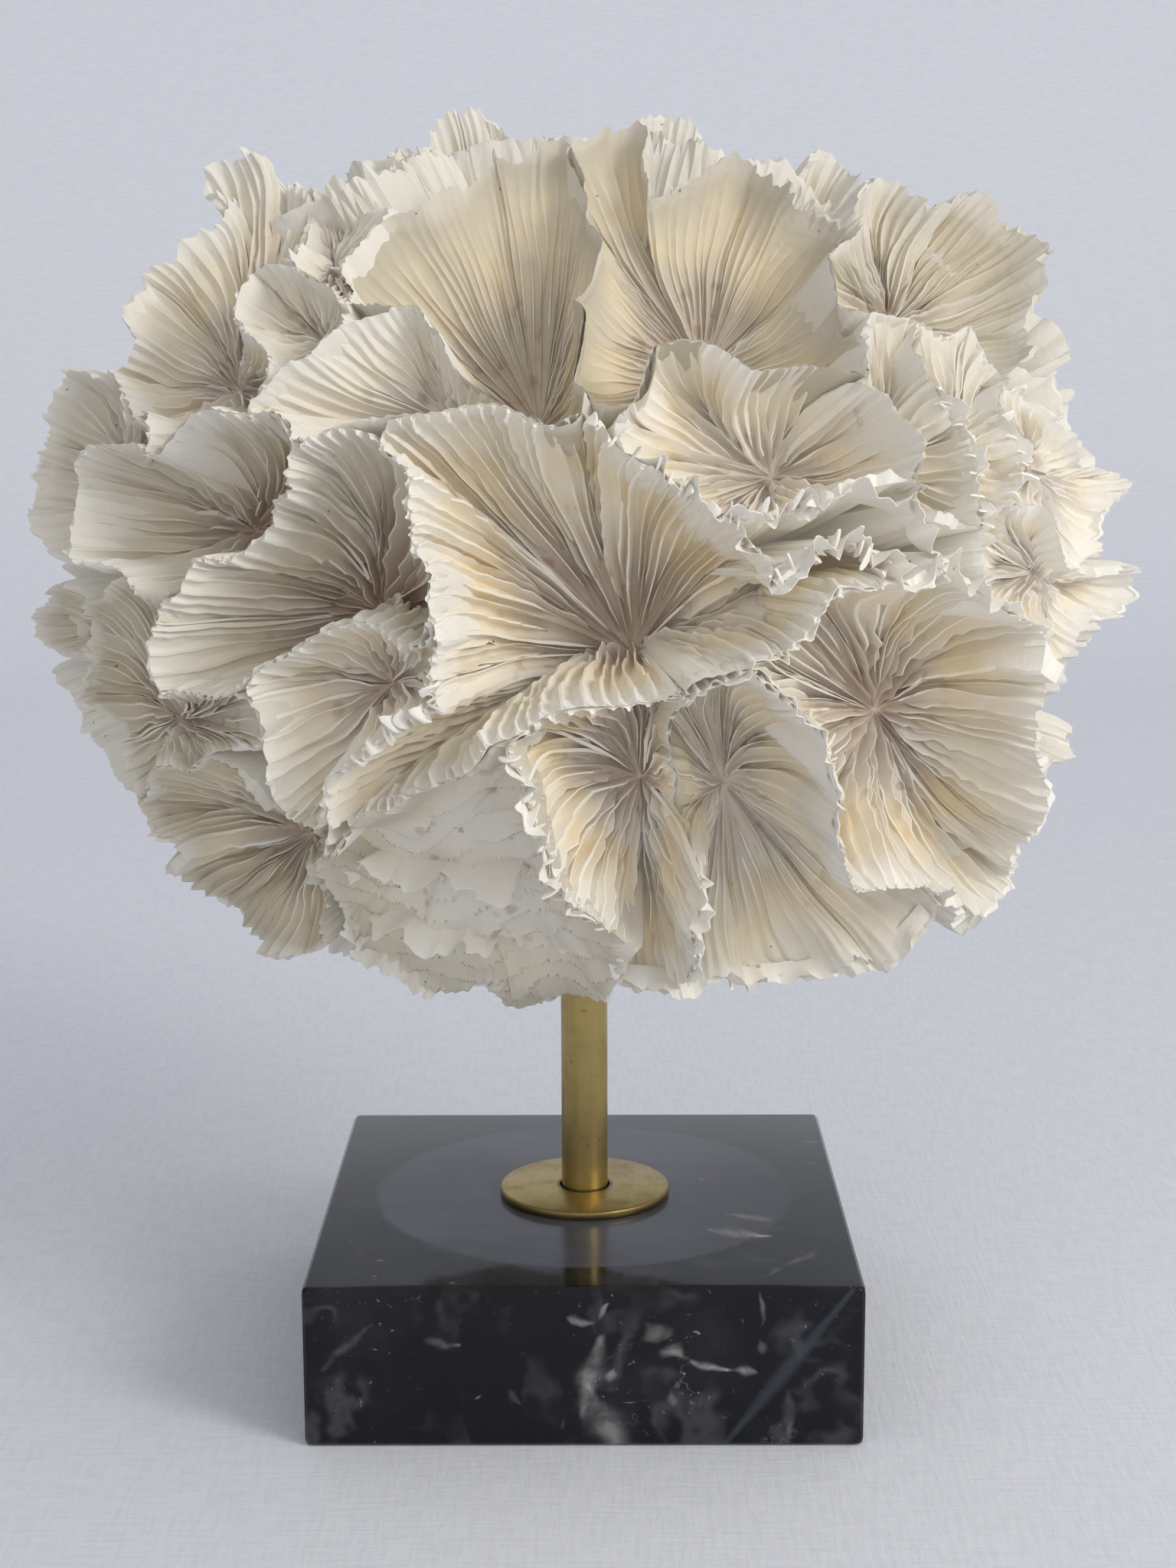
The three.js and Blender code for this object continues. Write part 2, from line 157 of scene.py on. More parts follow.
# Cracks filled with calcite, in millimetres: both ends, width, and how white the filling is.
CRACK_SPREAD = 1.6
MARBLE_CRACKS = [
    ((11.4, -50, 25.4), (14.6, -50, 18.0), 2.2, 1.0),
    ((13.4, -50, 18.8), (17.6, -50, 16.6), 1.9, 0.9),
    ((17.0, -50, 16.6), (25.0, -50, 13.9), 0.9, 0.35),
    ((24.0, -50, 14.0), (30.5, -50, 14.2), 1.3, 0.45),
    ((31.2, -50, 20.4), (32.4, -50, 16.0), 0.9, 0.65),
    ((30.6, -50, 28.0), (31.3, -50, 20.8), 0.6, 0.20),
    ((3.4, -50, 22.0), (0.8, -50, 6.0), 2.6, 0.26),
    ((1.8, -50, 12.0), (6.4, -50, -4.0), 3.4, 0.26),
    ((6.7, -50, 16.0), (6.2, -50, 11.6), 0.9, 0.65),
    ((16.3, -50, 9.0), (16.9, -50, 5.8), 0.8, 0.40),
    ((-4.8, -50, 24.6), (2.4, -50, 24.8), 0.7, 0.60),
    ((2.4, -50, 24.9), (5.4, -50, 28.4), 0.5, 0.35),
    ((-15.0, -50, 23.8), (-8.4, -50, 24.6), 0.7, 0.45),
    ((-30.5, -50, 21.7), (-22.6, -50, 19.7), 1.0, 0.22),
    ((-28.0, -50, 28.2), (-24.8, -50, 24.2), 1.2, 0.28),
    ((-14.2, -50, 10.4), (-11.8, -50, 8.0), 0.9, 0.35),
    ((-19.6, -50, 9.2), (-19.2, -50, 8.4), 0.8, 0.45),
    ((8.2, -50, 8.2), (14.6, -50, 7.7), 0.4, 0.30),
    ((36.7, -50, 10.5), (36.4, -50, 0.0), 1.4, 0.16),
    ((37.3, -50, 10.7), (44.4, -50, 9.1), 0.4, 0.32),
    ((-5.0, -50, 0.8), (-2.4, -50, 8.4), 0.6, 0.25),
    ((-48.0, -50, 14.0), (-36.0, -50, 24.5), 0.8, 0.10),
    ((-49.0, -50, 20.5), (-44.0, -50, 27.5), 0.7, 0.12),
    ((-23.8, -49.5, 30), (-23.2, -47.5, 30), 0.9, 0.60),
    ((22.5, -21.0, 30), (35.0, -23.5, 30), 2.4, 0.50),
    ((28.0, -14.0, 30), (38.0, -15.5, 30), 1.6, 0.30),
    ((5.5, -28.5, 30), (8.0, -29.5, 30), 0.5, 0.35),
    ((-16.0, 29.5, 30), (-12.0, 28.0, 30), 0.9, 0.30),
    ((44.0, 30.0, 30), (48.5, 30.0, 30), 1.0, 0.18),
    ((43.5, 17.0, 30), (46.5, 16.5, 30), 0.9, 0.18),
    ((-38.0, -37.0, 30), (-35.0, -37.0, 30), 0.6, 0.30),
    ((20.8, 8.4, 30), (23.5, 7.6, 30), 0.6, 0.35),
    ((36.2, 8.0, 30), (37.4, 8.0, 30), 0.7, 0.35),
    ((-9.6, -38.0, 30), (-8.4, -37.6, 30), 0.6, 0.30),
    ((30.0, -47.0, 30), (46.0, -28.0, 30), 1.2, 0.10),
    ((50, -38.0, 22.0), (50, -30.0, 12.0), 1.6, 0.70),
    ((50, -12.0, 26.0), (50, 2.0, 20.0), 0.9, 0.45),
    ((50, 10.0, 6.0), (50, 22.0, 16.0), 2.0, 0.30),
    ((50, 30.0, 24.0), (50, 38.0, 22.0), 0.8, 0.50),
    ((-50, 34.0, 24.0), (-50, 22.0, 16.0), 1.4, 0.60),
    ((-50, 10.0, 8.0), (-50, 2.0, 20.0), 2.2, 0.28),
    ((-50, -16.0, 25.0), (-50, -26.0, 22.0), 0.8, 0.50),
    ((-50, -34.0, 5.0), (-50, -40.0, 15.0), 0.9, 0.35),
    ((-36.0, 50, 8.0), (-24.0, 50, 20.0), 1.8, 0.30),
    ((-10.0, 50, 24.0), (-2.0, 50, 18.0), 1.5, 0.75),
    ((12.0, 50, 10.0), (24.0, 50, 13.0), 0.9, 0.45),
    ((34.0, 50, 27.0), (38.0, 50, 14.0), 0.8, 0.40),
]
BLUE_VEIN = ((24.0, -50, -1.0), (48.0, -50, 30.0), 2.2)


def new_finish(name):
    """A fresh material, its surface shader, and a tone that holds the place on the piece."""
    material = bpy.data.materials.new(name)
    material.use_nodes = True
    surface = material.node_tree.nodes["Principled BSDF"]
    place = Tone(material.node_tree).node("ShaderNodeTexCoord", {}, {}, "Object")
    return material, surface, place


def feed(surface, name, tone):
    tone.tree.links.new(tone.socket, surface.inputs[name])


def feed_bump(surface, height, strength, distance):
    inputs = {"Height": height, "Strength": strength, "Distance": distance}
    feed(surface, "Normal", height.node("ShaderNodeBump", {}, inputs))


def marble_finish():
    material, surface, place = new_finish("black_marble")
    # The place, swayed a little so that no vein runs straight
    sway = place.node("ShaderNodeTexNoise", {}, {"Vector": place, "Scale": 60.0, "Detail": 3.0}, "Color")
    rock = place.moved(sway.vector("SUBTRACT", (0.5, 0.5, 0.5)).vector("MULTIPLY", VEIN_SWAY))
    cloud = place.noise(38, 4.0, 0.62)
    patch = place.noise(55, 2.0)
    colour = cloud.rise(0.46, 0.80).between(MARBLE_BLACK, MARBLE_SMOKE)
    # Soft grey smears everywhere, and fine threads that show most on the upright faces
    upright = place.axis("Z").fall(SLAB_HEIGHT - SLAB_EDGE, TOP_FULL)
    smear = abs(rock.noise(42, 3.0, 0.6) - 0.5).fall(0.0, 0.05) * patch.rise(0.46, 0.62)
    colour = (smear * (0.10 + 0.16 * upright)).between(colour, MARBLE_GREY)
    thread = abs(rock.noise(60, 4.0, 0.7) - 0.5).fall(0.0, 0.010)
    thread = thread * patch.rise(0.52, 0.70) * cloud.rise(0.45, 0.65)
    colour = (thread * (0.06 + 0.12 * upright)).between(colour, CALCITE)
    # Filled cracks, wispy along their length, one broad bluish vein, and flecks
    wisp = 0.35 + 1.0 * rock.noise(150, 3.0, 0.65).rise(0.36, 0.68)
    for first, last, width, white in MARBLE_CRACKS:
        crack = rock.nearness(first, last, CRACK_SPREAD * width)
        colour = (crack * (0.3 + 0.7 * crack) * wisp * white).between(colour, CALCITE)
    vein = place.nearness(*BLUE_VEIN)
    colour = (vein * (0.4 + 0.6 * cloud) * 0.75).between(colour, MARBLE_BLUE)
    flecks = rock.noise(620, 2.0, 0.8).rise(0.65, 0.77) * cloud.rise(0.40, 0.62)
    colour = (flecks * (0.12 + 0.34 * upright)).between(colour, CALCITE)
    # The dull film on the top face, which thins out to the right
    out = place.vector("MULTIPLY", (1, 1, 0)).away((0, 0, 0)) + (patch - 0.5) * 0.0025
    top = place.axis("Z").rise(TOP_START, TOP_FULL)
    thinned = 0.25 + 0.75 * place.axis("X").fall(0.005, 0.045)
    inside = out.fall(FILM_RADIUS - FILM_SOFT_IN, FILM_RADIUS + FILM_SOFT_OUT) * top * thinned
    film = place.noise(24, 3.0, 0.6, (1, 2.4, 1)).rise(0.30, 0.75)
    colour = (inside * (0.55 + 0.45 * film)).between(colour, MARBLE_FILM)
    feed(surface, "Base Color", colour)
    scuff = place.noise(150, 3.0, 0.7)
    dust = place.noise(900, 1.0, 0.6).rise(0.66, 0.74) * top
    feed(surface, "Roughness", 0.05 + 0.05 * scuff + 0.10 * inside + 0.06 * dust)
    surface.inputs["Specular IOR Level"].default_value = 0.28
    feed_bump(surface, scuff, 0.02, 0.0004)
    return material


def new_piece(name, mesh, finish, replaced):
    piece = bpy.data.objects.new(name, mesh)
    bpy.context.scene.collection.objects.link(piece)
    mesh.materials.append(finish)
    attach(piece, "root")
    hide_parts(replaced)


def slab_mesh():
    block = bmesh.new()
    bmesh.ops.create_cube(block, size=1)
    bmesh.ops.scale(block, vec=(SLAB_SIDE, SLAB_SIDE, SLAB_HEIGHT), verts=block.verts)
    bmesh.ops.translate(block, vec=(0, 0, SLAB_HEIGHT / 2), verts=block.verts)
    bmesh.ops.bevel(block, geom=block.edges[:], offset=SLAB_EDGE, segments=SLAB_EDGE_STEPS,
                    profile=SLAB_EDGE_PROFILE, affect="EDGES")
    mesh = bpy.data.meshes.new("marble_slab")
    block.to_mesh(mesh)
    block.free()
    mesh.shade_smooth()
    mesh.set_sharp_from_angle(angle=SLAB_CREASE)
    return mesh


new_piece("marble_slab", slab_mesh(), marble_finish(), "marble_base")

# Brass disc
# A turned disc of brass sheet that hides the mouth of the hole in the marble.
# Its face is rubbed with fine emery and has darkened unevenly since.
DISC_RADIUS = 16.5 * MM
DISC_THICKNESS = 1.7 * MM
DISC_HOLE = 4.9 * MM
DISC_LIP = 0.3 * MM
DISC_LIP_IN = 0.12 * MM
DISC_LIP_DOWN = 0.1 * MM
DISC_FOOT_IN = 0.2 * MM
DISC_FOOT_UP = 0.25 * MM
BRASS_BRIGHT = (0.56, 0.43, 0.17, 1)
BRASS_DULL = (0.35, 0.26, 0.10, 1)
BRASS_TARNISH = (0.085, 0.055, 0.025, 1)
TURN_STEPS = 128
TURN_CREASE = math.radians(40)


def turned_mesh(name, profile):
    """A solid of revolution about the upright axis from a closed profile of (radius, height)."""
    turns = np.linspace(0, 2 * math.pi, TURN_STEPS, endpoint=False)
    count = len(profile)
    points = [(r * math.cos(a), r * math.sin(a), z) for a in turns for r, z in profile]
    faces = []
    for i in range(TURN_STEPS):
        here, there = i * count, (i + 1) % TURN_STEPS * count
        for k in range(count):
            onward = (k + 1) % count
            faces.append((here + k, there + k, there + onward, here + onward))
    mesh = bpy.data.meshes.new(name)
    mesh.from_pydata(points, [], faces)
    mesh.shade_smooth()
    mesh.set_sharp_from_angle(angle=TURN_CREASE)
    return mesh


def brass_finish(name, stretch, dull):
    """What disc and rod share: fine streaks one way, dull broad bands, patina and dark spots."""
    material, surface, place = new_finish(name)
    streak = place.noise(1400, 3.0, 0.6, stretch)
    broad = place.noise(90, 4.0, 0.65, stretch)
    patina = place.noise(150, 5.0, 0.7).rise(0.42, 0.72)
    colour = (dull * broad.rise(0.3, 0.7) + 0.25 * streak).between(BRASS_BRIGHT, BRASS_DULL)
    colour = (patina * dull * 0.45).between(colour, BRASS_TARNISH)
    spots = place.noise(700, 2.0).rise(0.68, 0.74)
    colour = (spots * 0.5).between(colour, BRASS_TARNISH)
    return material, surface, place, streak, patina, colour


def disc_finish():
    material, surface, place, streak, patina, colour = brass_finish("rubbed_brass", (1, 0.12, 1), 0.6)
    out = place.vector("MULTIPLY", (1, 1, 0)).away((0, 0, 0))
    rim = out.rise(DISC_RADIUS - 0.5 * MM, DISC_RADIUS - 0.1 * MM)
    seat = out.fall(DISC_HOLE + 0.1 * MM, DISC_HOLE + 0.9 * MM)
    colour = (rim * 0.5 + seat * 0.85).between(colour, BRASS_TARNISH)
    feed(surface, "Base Color", colour)
    feed(surface, "Roughness", 0.30 + 0.12 * streak + 0.12 * patina)
    surface.inputs["Metallic"].default_value = 1.0
    feed_bump(surface, streak, 0.06, 0.0002)
    return material


disc_low = SLAB_HEIGHT
disc_top = SLAB_HEIGHT + DISC_THICKNESS
disc_profile = [
    (DISC_HOLE, disc_low), (DISC_RADIUS - DISC_FOOT_IN, disc_low), (DISC_RADIUS, disc_low + DISC_FOOT_UP),
    (DISC_RADIUS, disc_top - DISC_LIP), (DISC_RADIUS - DISC_LIP_IN, disc_top - DISC_LIP_DOWN),
    (DISC_RADIUS - DISC_LIP, disc_top), (DISC_HOLE, disc_top),
]
new_piece("brass_rosette", turned_mesh("brass_rosette", disc_profile), disc_finish(), "brass_disc")

# Brass rod
# A length of drawn brass rod, cut square, set into the marble and up into the coral's foot.
# Drawing left fine lines along it, and it has darkened in bands since.
ROD_RADIUS = 4.5 * MM
ROD_LOW = 10.5 * MM
ROD_HIGH = 99.5 * MM
ROD_END = 0.4 * MM
ROD_MIDDLE = 0.3 * MM


def rod_finish():
    material, surface, place, streak, patina, colour = brass_finish("drawn_brass", (1, 1, 0.025), 0.55)
    hold = place.noise(40, 3.0, 0.6, (0.4, 0.4, 1)).rise(0.42, 0.7)
    foot = place.axis("Z").fall(32 * MM, 35 * MM)
    colour = (hold * 0.30 + foot * 0.35).between(colour, BRASS_DULL)
    feed(surface, "Base Color", colour)
    feed(surface, "Roughness", 0.26 + 0.14 * streak + 0.10 * patina)
    surface.inputs["Metallic"].default_value = 1.0
    feed_bump(surface, streak, 0.08, 0.0002)
    return material


rod_profile = [
    (ROD_MIDDLE, ROD_LOW), (ROD_RADIUS - ROD_END, ROD_LOW), (ROD_RADIUS, ROD_LOW + ROD_END),
    (ROD_RADIUS, ROD_HIGH - ROD_END), (ROD_RADIUS - ROD_END, ROD_HIGH), (ROD_MIDDLE, ROD_HIGH),
]
new_piece("brass_rod_drawn", turned_mesh("brass_rod_drawn", rod_profile), rod_finish(), "brass_rod")

# Coral
# The bleached skeleton of one stony colony: thin plates of lime folded into fans and cups,
# each lined with upright blades that run from its ragged rim down to a small deep mouth.
COLONY_CENTRE = np.array((2.0, 5.0, 151.0))
COLONY_HALF = np.array((104.0, 88.0, 84.0))
COLONY_HEART = np.array((2.0, 8.0, 146.0))
BOWL_BEND = 1.5
BOWL_SAG = 0.05
BLADE_PLACES = np.array((0.0, 0.34, 0.45, 0.57, 0.68))
BLADE_DEEP = np.array((0.0, 0.0, 1.0, 1.0, 0.0))
BLADE_RIM = np.array((0.0, 0.72, 1.0, 0.95, 0.62))

# Ridges between neighbouring cups on the photographed side, in millimetres, each followed one way.
CREST = {
    "heartTop": [(-27, -70, 180), (-17, -69, 182), (-7, -71, 180), (0, -71, 181), (6, -73, 176),
                 (14, -74, 172), (24, -73, 170)],
    "channel": [(30, -78, 160), (40, -73, 164), (49, -71, 162)],
    "heartFlower": [(48, -75, 157), (35, -80, 150)],
    "chinTop": [(26, -83, 145), (15, -80, 142), (7, -78, 140)],
    "tongue": [(-5, -84, 135), (-19, -79, 125), (-40, -64, 114)],
    "heartTuck": [(-40, -70, 121), (-34, -76, 128), (-31, -77, 132), (-20, -80, 137), (-22, -80, 142)],
    "heartEye": [(-23, -82, 153), (-23, -80, 164), (-25, -76, 171), (-30, -72, 177)],
    "eyeTuck": [(-26, -76, 147), (-37, -71, 146), (-52, -67, 139)],
    "eyeFlank": [(-55, -65, 135), (-68, -56, 133), (-71, -57, 139), (-69, -58, 151)],
    "eyeLeft": [(-61, -61, 157), (-51, -62, 163), (-47, -62, 166), (-45, -64, 174), (-47, -62, 181)],
    "eyeTop": [(-38, -69, 180)],
    "leftTop": [(-71, -47, 179), (-61, -52, 185), (-51, -58, 185)],
    "leftRim": [(-84, -40, 157), (-87, -36, 162), (-85, -34, 177)],
    "leftLow": [(-69, -54, 152), (-77, -48, 155)],
    "tuckLow": [(-44, -64, 118), (-49, -62, 120), (-51, -66, 129)],
    "petal": [(-55, -52, 186), (-51, -55, 189), (-47, -54, 193), (-41, -52, 198), (-29, -53, 200),
              (-21, -60, 189), (-13, -64, 182)],
    "greatRim": [(-36, -42, 200), (-38, -32, 208), (-37, -25, 215), (-26, -22, 218), (-9, -15, 226),
                 (0, -15, 227), (8, -12, 230), (16, -18, 219), (27, -14, 227), (34, -18, 220),
                 (43, -24, 215), (45, -32, 209), (45, -42, 201), (46, -55, 192)],
    "fold": [(0, -27, 217), (1, -42, 207), (2, -61, 187)],
    "browTop": [(8, -66, 183), (17, -62, 193), (30, -63, 190), (39, -60, 191)],
    "browRight": [(50, -62, 184), (53, -66, 177), (53, -68, 171)],
    "browLow": [(43, -71, 170), (32, -72, 170)],
    "crown": [(52, -8, 224), (57, -5, 223), (62, -10, 216), (71, -2, 219), (82, -2, 213), (83, -15, 200),
              (78, -25, 192), (72, -38, 187)],
    "crownLow": [(66, -30, 198), (57, -42, 196), (50, -46, 199)],
    "inner": [(57, -52, 189), (60, -56, 182), (61, -60, 175), (62, -64, 166)],
    "innerLow": [(54, -69, 165)],
    "outer": [(71, -42, 184), (73, -48, 175), (72, -52, 169)],
    "lobeHigh": [(78, -30, 186), (86, -22, 180), (101, -8, 170), (99, -10, 166), (92, -20, 161),
                 (86, -28, 158), (76, -46, 163)],
    "lobeLow": [(97, -14, 153), (101, -10, 148), (98, -12, 142), (90, -24, 142), (80, -40, 143)],
    "flowerTop": [(52, -73, 158), (60, -69, 159), (69, -60, 153)],
    "flowerRim": [(75, -54, 147), (79, -48, 136), (77, -44, 124), (82, -32, 111), (79, -28, 104),
                  (78, -22, 96), (68, -34, 94)],
    "flowerChin": [(61, -52, 102), (49, -66, 106), (43, -74, 113), (40, -80, 123), (34, -83, 135)],
    "chinMid": [(17, -54, 126), (18, -56, 116), (18, -68, 107)],
    "chinLow": [(59, -40, 93), (53, -40, 88), (38, -38, 83), (27, -44, 87), (17, -46, 83), (7, -46, 83)],
    "chinLeft": [(3, -66, 101), (-1, -76, 111), (-6, -83, 123), (-7, -84, 131)],
    "lowRim": [(-42, -58, 111), (-45, -40, 93), (-49, -36, 89), (-63, -24, 91), (-73, -20, 97),
               (-73, -30, 107), (-81, -26, 113), (-73, -40, 121), (-62, -52, 125)],
    "flankRim": [(-83, -28, 126), (-87, -28, 134), (-86, -30, 149)],
    "tabRim": [(-89, -20, 149), (-103, 5, 144), (-106, 8, 141), (-102, 5, 138), (-89, -18, 139)],
    "sideRim": [(-90, -24, 159), (-98, -12, 160), (-100, -8, 174), (-96, -10, 184), (-90, -14, 187),
                (-83, -22, 189)],
    "fanRim": [(-78, -20, 195), (-77, -10, 205), (-66, -2, 216), (-67, 8, 225), (-59, 6, 226),
               (-50, -12, 214)],
    "smallFan": [(-52, -50, 190), (-56, -40, 197), (-57, -34, 202), (-54, -30, 206), (-47, -34, 207),
                 (-41, -40, 204)],
    "backTab": [(-51, 2, 223), (-40, -10, 219)],
    "skirtRim": [(-9, -26, 76), (-15, -36, 83), (-23, -32, 81), (-33, -34, 84), (-40, -36, 87),
                 (-40, -48, 96)],
    "wallHigh": [(-40, -52, 106), (-30, -55, 108), (-18, -56, 105), (-8, -58, 107), (0, -60, 103)],
    "wallLow": [(-38, -44, 97), (-28, -45, 97), (-18, -46, 94), (-8, -45, 95), (2, -46, 90)],
    "topLeft": [(-38, 12, 220), (-38, 22, 232), (-31, 24, 231), (-26, 26, 236), (-18, 28, 237),
                (-9, 24, 229), (-12, 2, 220), (-26, -8, 214)],
    "topMid": [(9, 22, 232), (18, 28, 236), (23, 20, 224), (20, -2, 216), (8, 2, 220)],
    "topRight": [(40, 8, 219), (43, 14, 228), (49, 16, 229), (52, 2, 213), (46, -12, 205), (38, -6, 210)],
}

# Cups of that side: piece, deepest point, rim as stretches of crest, height of the blades and of the
# broad folds, and how much cream with painted shade, ochre stain and painted mouth shade the cup holds.
TRACED_CUPS = [
    ("heart", (9, -46, 142),
     "heartTop 0 6, channel 0 2, heartFlower 0 1, chinTop 0 2, tongue 0 2, heartTuck 0 4, heartEye 0 3",
     3.4, 0.9, 0.0, 1.1, 0.6),
    ("heart", (-35, -44, 149), "heartEye 3 0, eyeTuck 0 2, eyeFlank 0 3, eyeLeft 0 4, eyeTop 0 0",
     3.0, 0.9, 0.4, 0.4, 1.0),
    ("left", (-57, -30, 162), "leftTop 0 2, eyeLeft 4 0, leftLow 0 1, leftRim 0 2",
     2.6, 1.0, 0.5, 0.4, 0.8),
    ("heart", (-31, -60, 139), "eyeTuck 2 0, heartEye 0 0, heartTuck 4 0, tuckLow 0 2",
     2.8, 1.2, 0.0, 0.7, 0.3),
    ("fans", (-20, -54, 181), "petal 0 6, heartTop 2 0, eyeTop 0 0, eyeLeft 4 4, leftTop 2 2",
     1.9, 1.2, 0.3, 0.4, 0.3),
    ("fans", (-7, -40, 180), "greatRim 0 5, fold 0 2, heartTop 3 2, petal 6 4", 0.95, 0.5, 1.5, 0.9, 0.4),
    ("fans", (21, -34, 189), "greatRim 5 13, browTop 3 0, fold 2 0", 1.0, 0.7, 1.7, 0.9, 0.5),
    ("fans", (32, -48, 172), "browTop 0 3, greatRim 13 13, browRight 0 2, browLow 0 1, heartTop 6 4",
     2.4, 2.4, 0.05, 0.8, 0.4),
    ("right", (54, -24, 197), "greatRim 11 11, crown 0 7, crownLow 0 2, greatRim 12 12",
     1.8, 1.2, 1.0, 0.3, 0.2),
    ("right", (50, -54, 174), "greatRim 13 13, crownLow 2 1, inner 0 3, innerLow 0 0, browRight 2 0",
     2.4, 1.6, 0.5, 0.4, 0.2),
    ("right", (62, -46, 174), "crownLow 1 0, crown 7 7, outer 0 2, inner 3 0", 2.2, 1.6, 0.4, 0.5, 0.2),
    ("right", (79, -22, 172), "crown 7 7, lobeHigh 0 6, outer 2 0", 2.2, 1.6, 0.05, 0.6, 0.3),
    ("right", (80, -26, 154),
     "lobeHigh 6 5, lobeLow 0 4, flowerRim 0 0, flowerTop 2 2, inner 3 3, outer 2 2",
     2.0, 1.6, 0.1, 0.7, 0.3),
    ("flower", (51, -38, 131),
     "chinTop 0 0, heartFlower 1 0, flowerTop 0 2, flowerRim 0 6, flowerChin 0 4",
     2.9, 4.0, 0.2, 1.1, 0.5),
    ("flower", (10, -52, 122), "chinTop 2 1, chinMid 0 2, chinLow 4 5, chinLeft 0 3, tongue 0 0",
     3.2, 1.4, 0.0, 1.2, 0.5),
    ("flower", (24, -52, 121), "chinTop 1 0, flowerChin 4 0, chinLow 0 4, chinMid 2 0",
     1.5, 3.0, 0.6, 0.9, 0.4),
    ("left", (-46, -44, 111), "lowRim 8 8, tuckLow 1 0, lowRim 0 7", 2.4, 1.8, 1.35, 0.6, 0.5),
    ("left", (-70, -36, 130), "leftLow 1 0, eyeFlank 3 0, tuckLow 2 2, lowRim 8 6, flankRim 0 2",
     2.4, 1.6, 1.0, 0.3, 0.5),
    ("left", (-88, -10, 143), "tabRim 4 0", 1.6, 0.8, 0.8, 0.4, 0.1),
    ("left", (-82, -14, 171), "sideRim 0 5, leftTop 0 0, leftRim 2 1", 2.0, 1.2, 0.55, 0.2, 0.2),
    ("left", (-59, -30, 186), "sideRim 5 5, fanRim 0 5, smallFan 3 0, petal 0 0, leftTop 2 0",
     2.4, 1.4, 0.5, 0.7, 0.4),
    ("left", (-43, -38, 194), "smallFan 0 5, greatRim 0 0, petal 3 1", 1.8, 1.2, 0.45, 0.4, 0.2),
    ("left", (-43, -24, 206), "fanRim 5 5, backTab 0 1, greatRim 2 0, smallFan 5 4",
     1.8, 1.2, 0.35, 0.3, 0.2),
    ("skirt", (-20, -60, 115), "tongue 2 0, chinLeft 3 0, chinLow 5 5, skirtRim 0 5, lowRim 0 0",
     0.6, 0.8, 1.45, 0.5, 0.1),
    ("fans", (-24, 2, 211), "topLeft 0 7", 2.2, 1.6, 0.6, 0.5, 0.1),
    ("fans", (15, 6, 211), "topMid 0 4", 2.2, 1.6, 0.55, 0.4, 0.1),
    ("fans", (45, 2, 206), "topRight 0 5", 2.2, 1.4, 0.55, 0.4, 0.1),
]

# Cups of the hidden side: piece, azimuth, elevation, reach across and up in degrees,
# and the depth and rim as shares of the colony's half size.
ROUND_CUPS = [
    ("back", -120, 56, 24, 18, 0.66, 0.93),
    ("back", 172, 70, 28, 22, 0.66, 0.95),
    ("back", 118, 52, 24, 18, 0.66, 0.92),
    ("back", -136, 34, 30, 26, 0.62, 0.95),
    ("back", 176, 40, 30, 26, 0.58, 1.0),
    ("back", 132, 34, 28, 24, 0.62, 0.93),
    ("back", -112, -2, 22, 28, 0.66, 0.92),
    ("back", -152, -6, 28, 26, 0.60, 1.0),
    ("back", 164, -4, 30, 28, 0.56, 1.0),
    ("back", 122, -4, 24, 26, 0.64, 0.94),
    ("skirt", -112, -42, 32, 22, 0.66, 0.98),
    ("skirt", -176, -44, 38, 24, 0.62, 0.97),
    ("skirt", 112, -42, 32, 24, 0.66, 0.92),
    ("skirt", -75, -68, 24, 14, 0.66, 0.80),
    ("skirt", 75, -68, 24, 14, 0.66, 0.80),
    ("skirt", 180, -74, 40, 16, 0.72, 0.92),
    ("right", 97, 3, 17, 22, 0.62, 0.87),
    ("right", 99, 32, 16, 17, 0.64, 0.87),
    ("left", -99, 28, 16, 18, 0.64, 0.89),
]
ROUND_RIM_POINTS = 10
ROUND_OVAL = 0.16
ROUND_OVAL_PHASE = 1.7
ROUND_LOBES = 0.13
ROUND_LOBES_PHASE = 2.3
ROUND_TILT = 0.04
ROUND_TILT_PHASE = 1.3
ROUND_WAVE = 0.03

# Pockets sunk into the bowls, which the finish also paints with shade: middle, reach and depth in
# millimetres.
HOLLOWS = [
    ((34, -66, 154), 12, 15),
    ((12, -64, 132), 8, 9),
    ((-44, -52, 150), 10, 7),
]

# Crests where the ends of the blades stand clear: piece, stretches of crest, and their height.
FRINGES = [
    ("fans", "browLow 0 1, heartTop 6 3", 2.6),
    ("heart", "heartTuck 1 4", 1.6),
    ("heart", "channel 0 2", 2.0),
    ("flower", "chinLeft 0 3", 2.2),
    ("right", "inner 0 3", 1.8),
    ("right", "outer 0 2", 1.8),
]

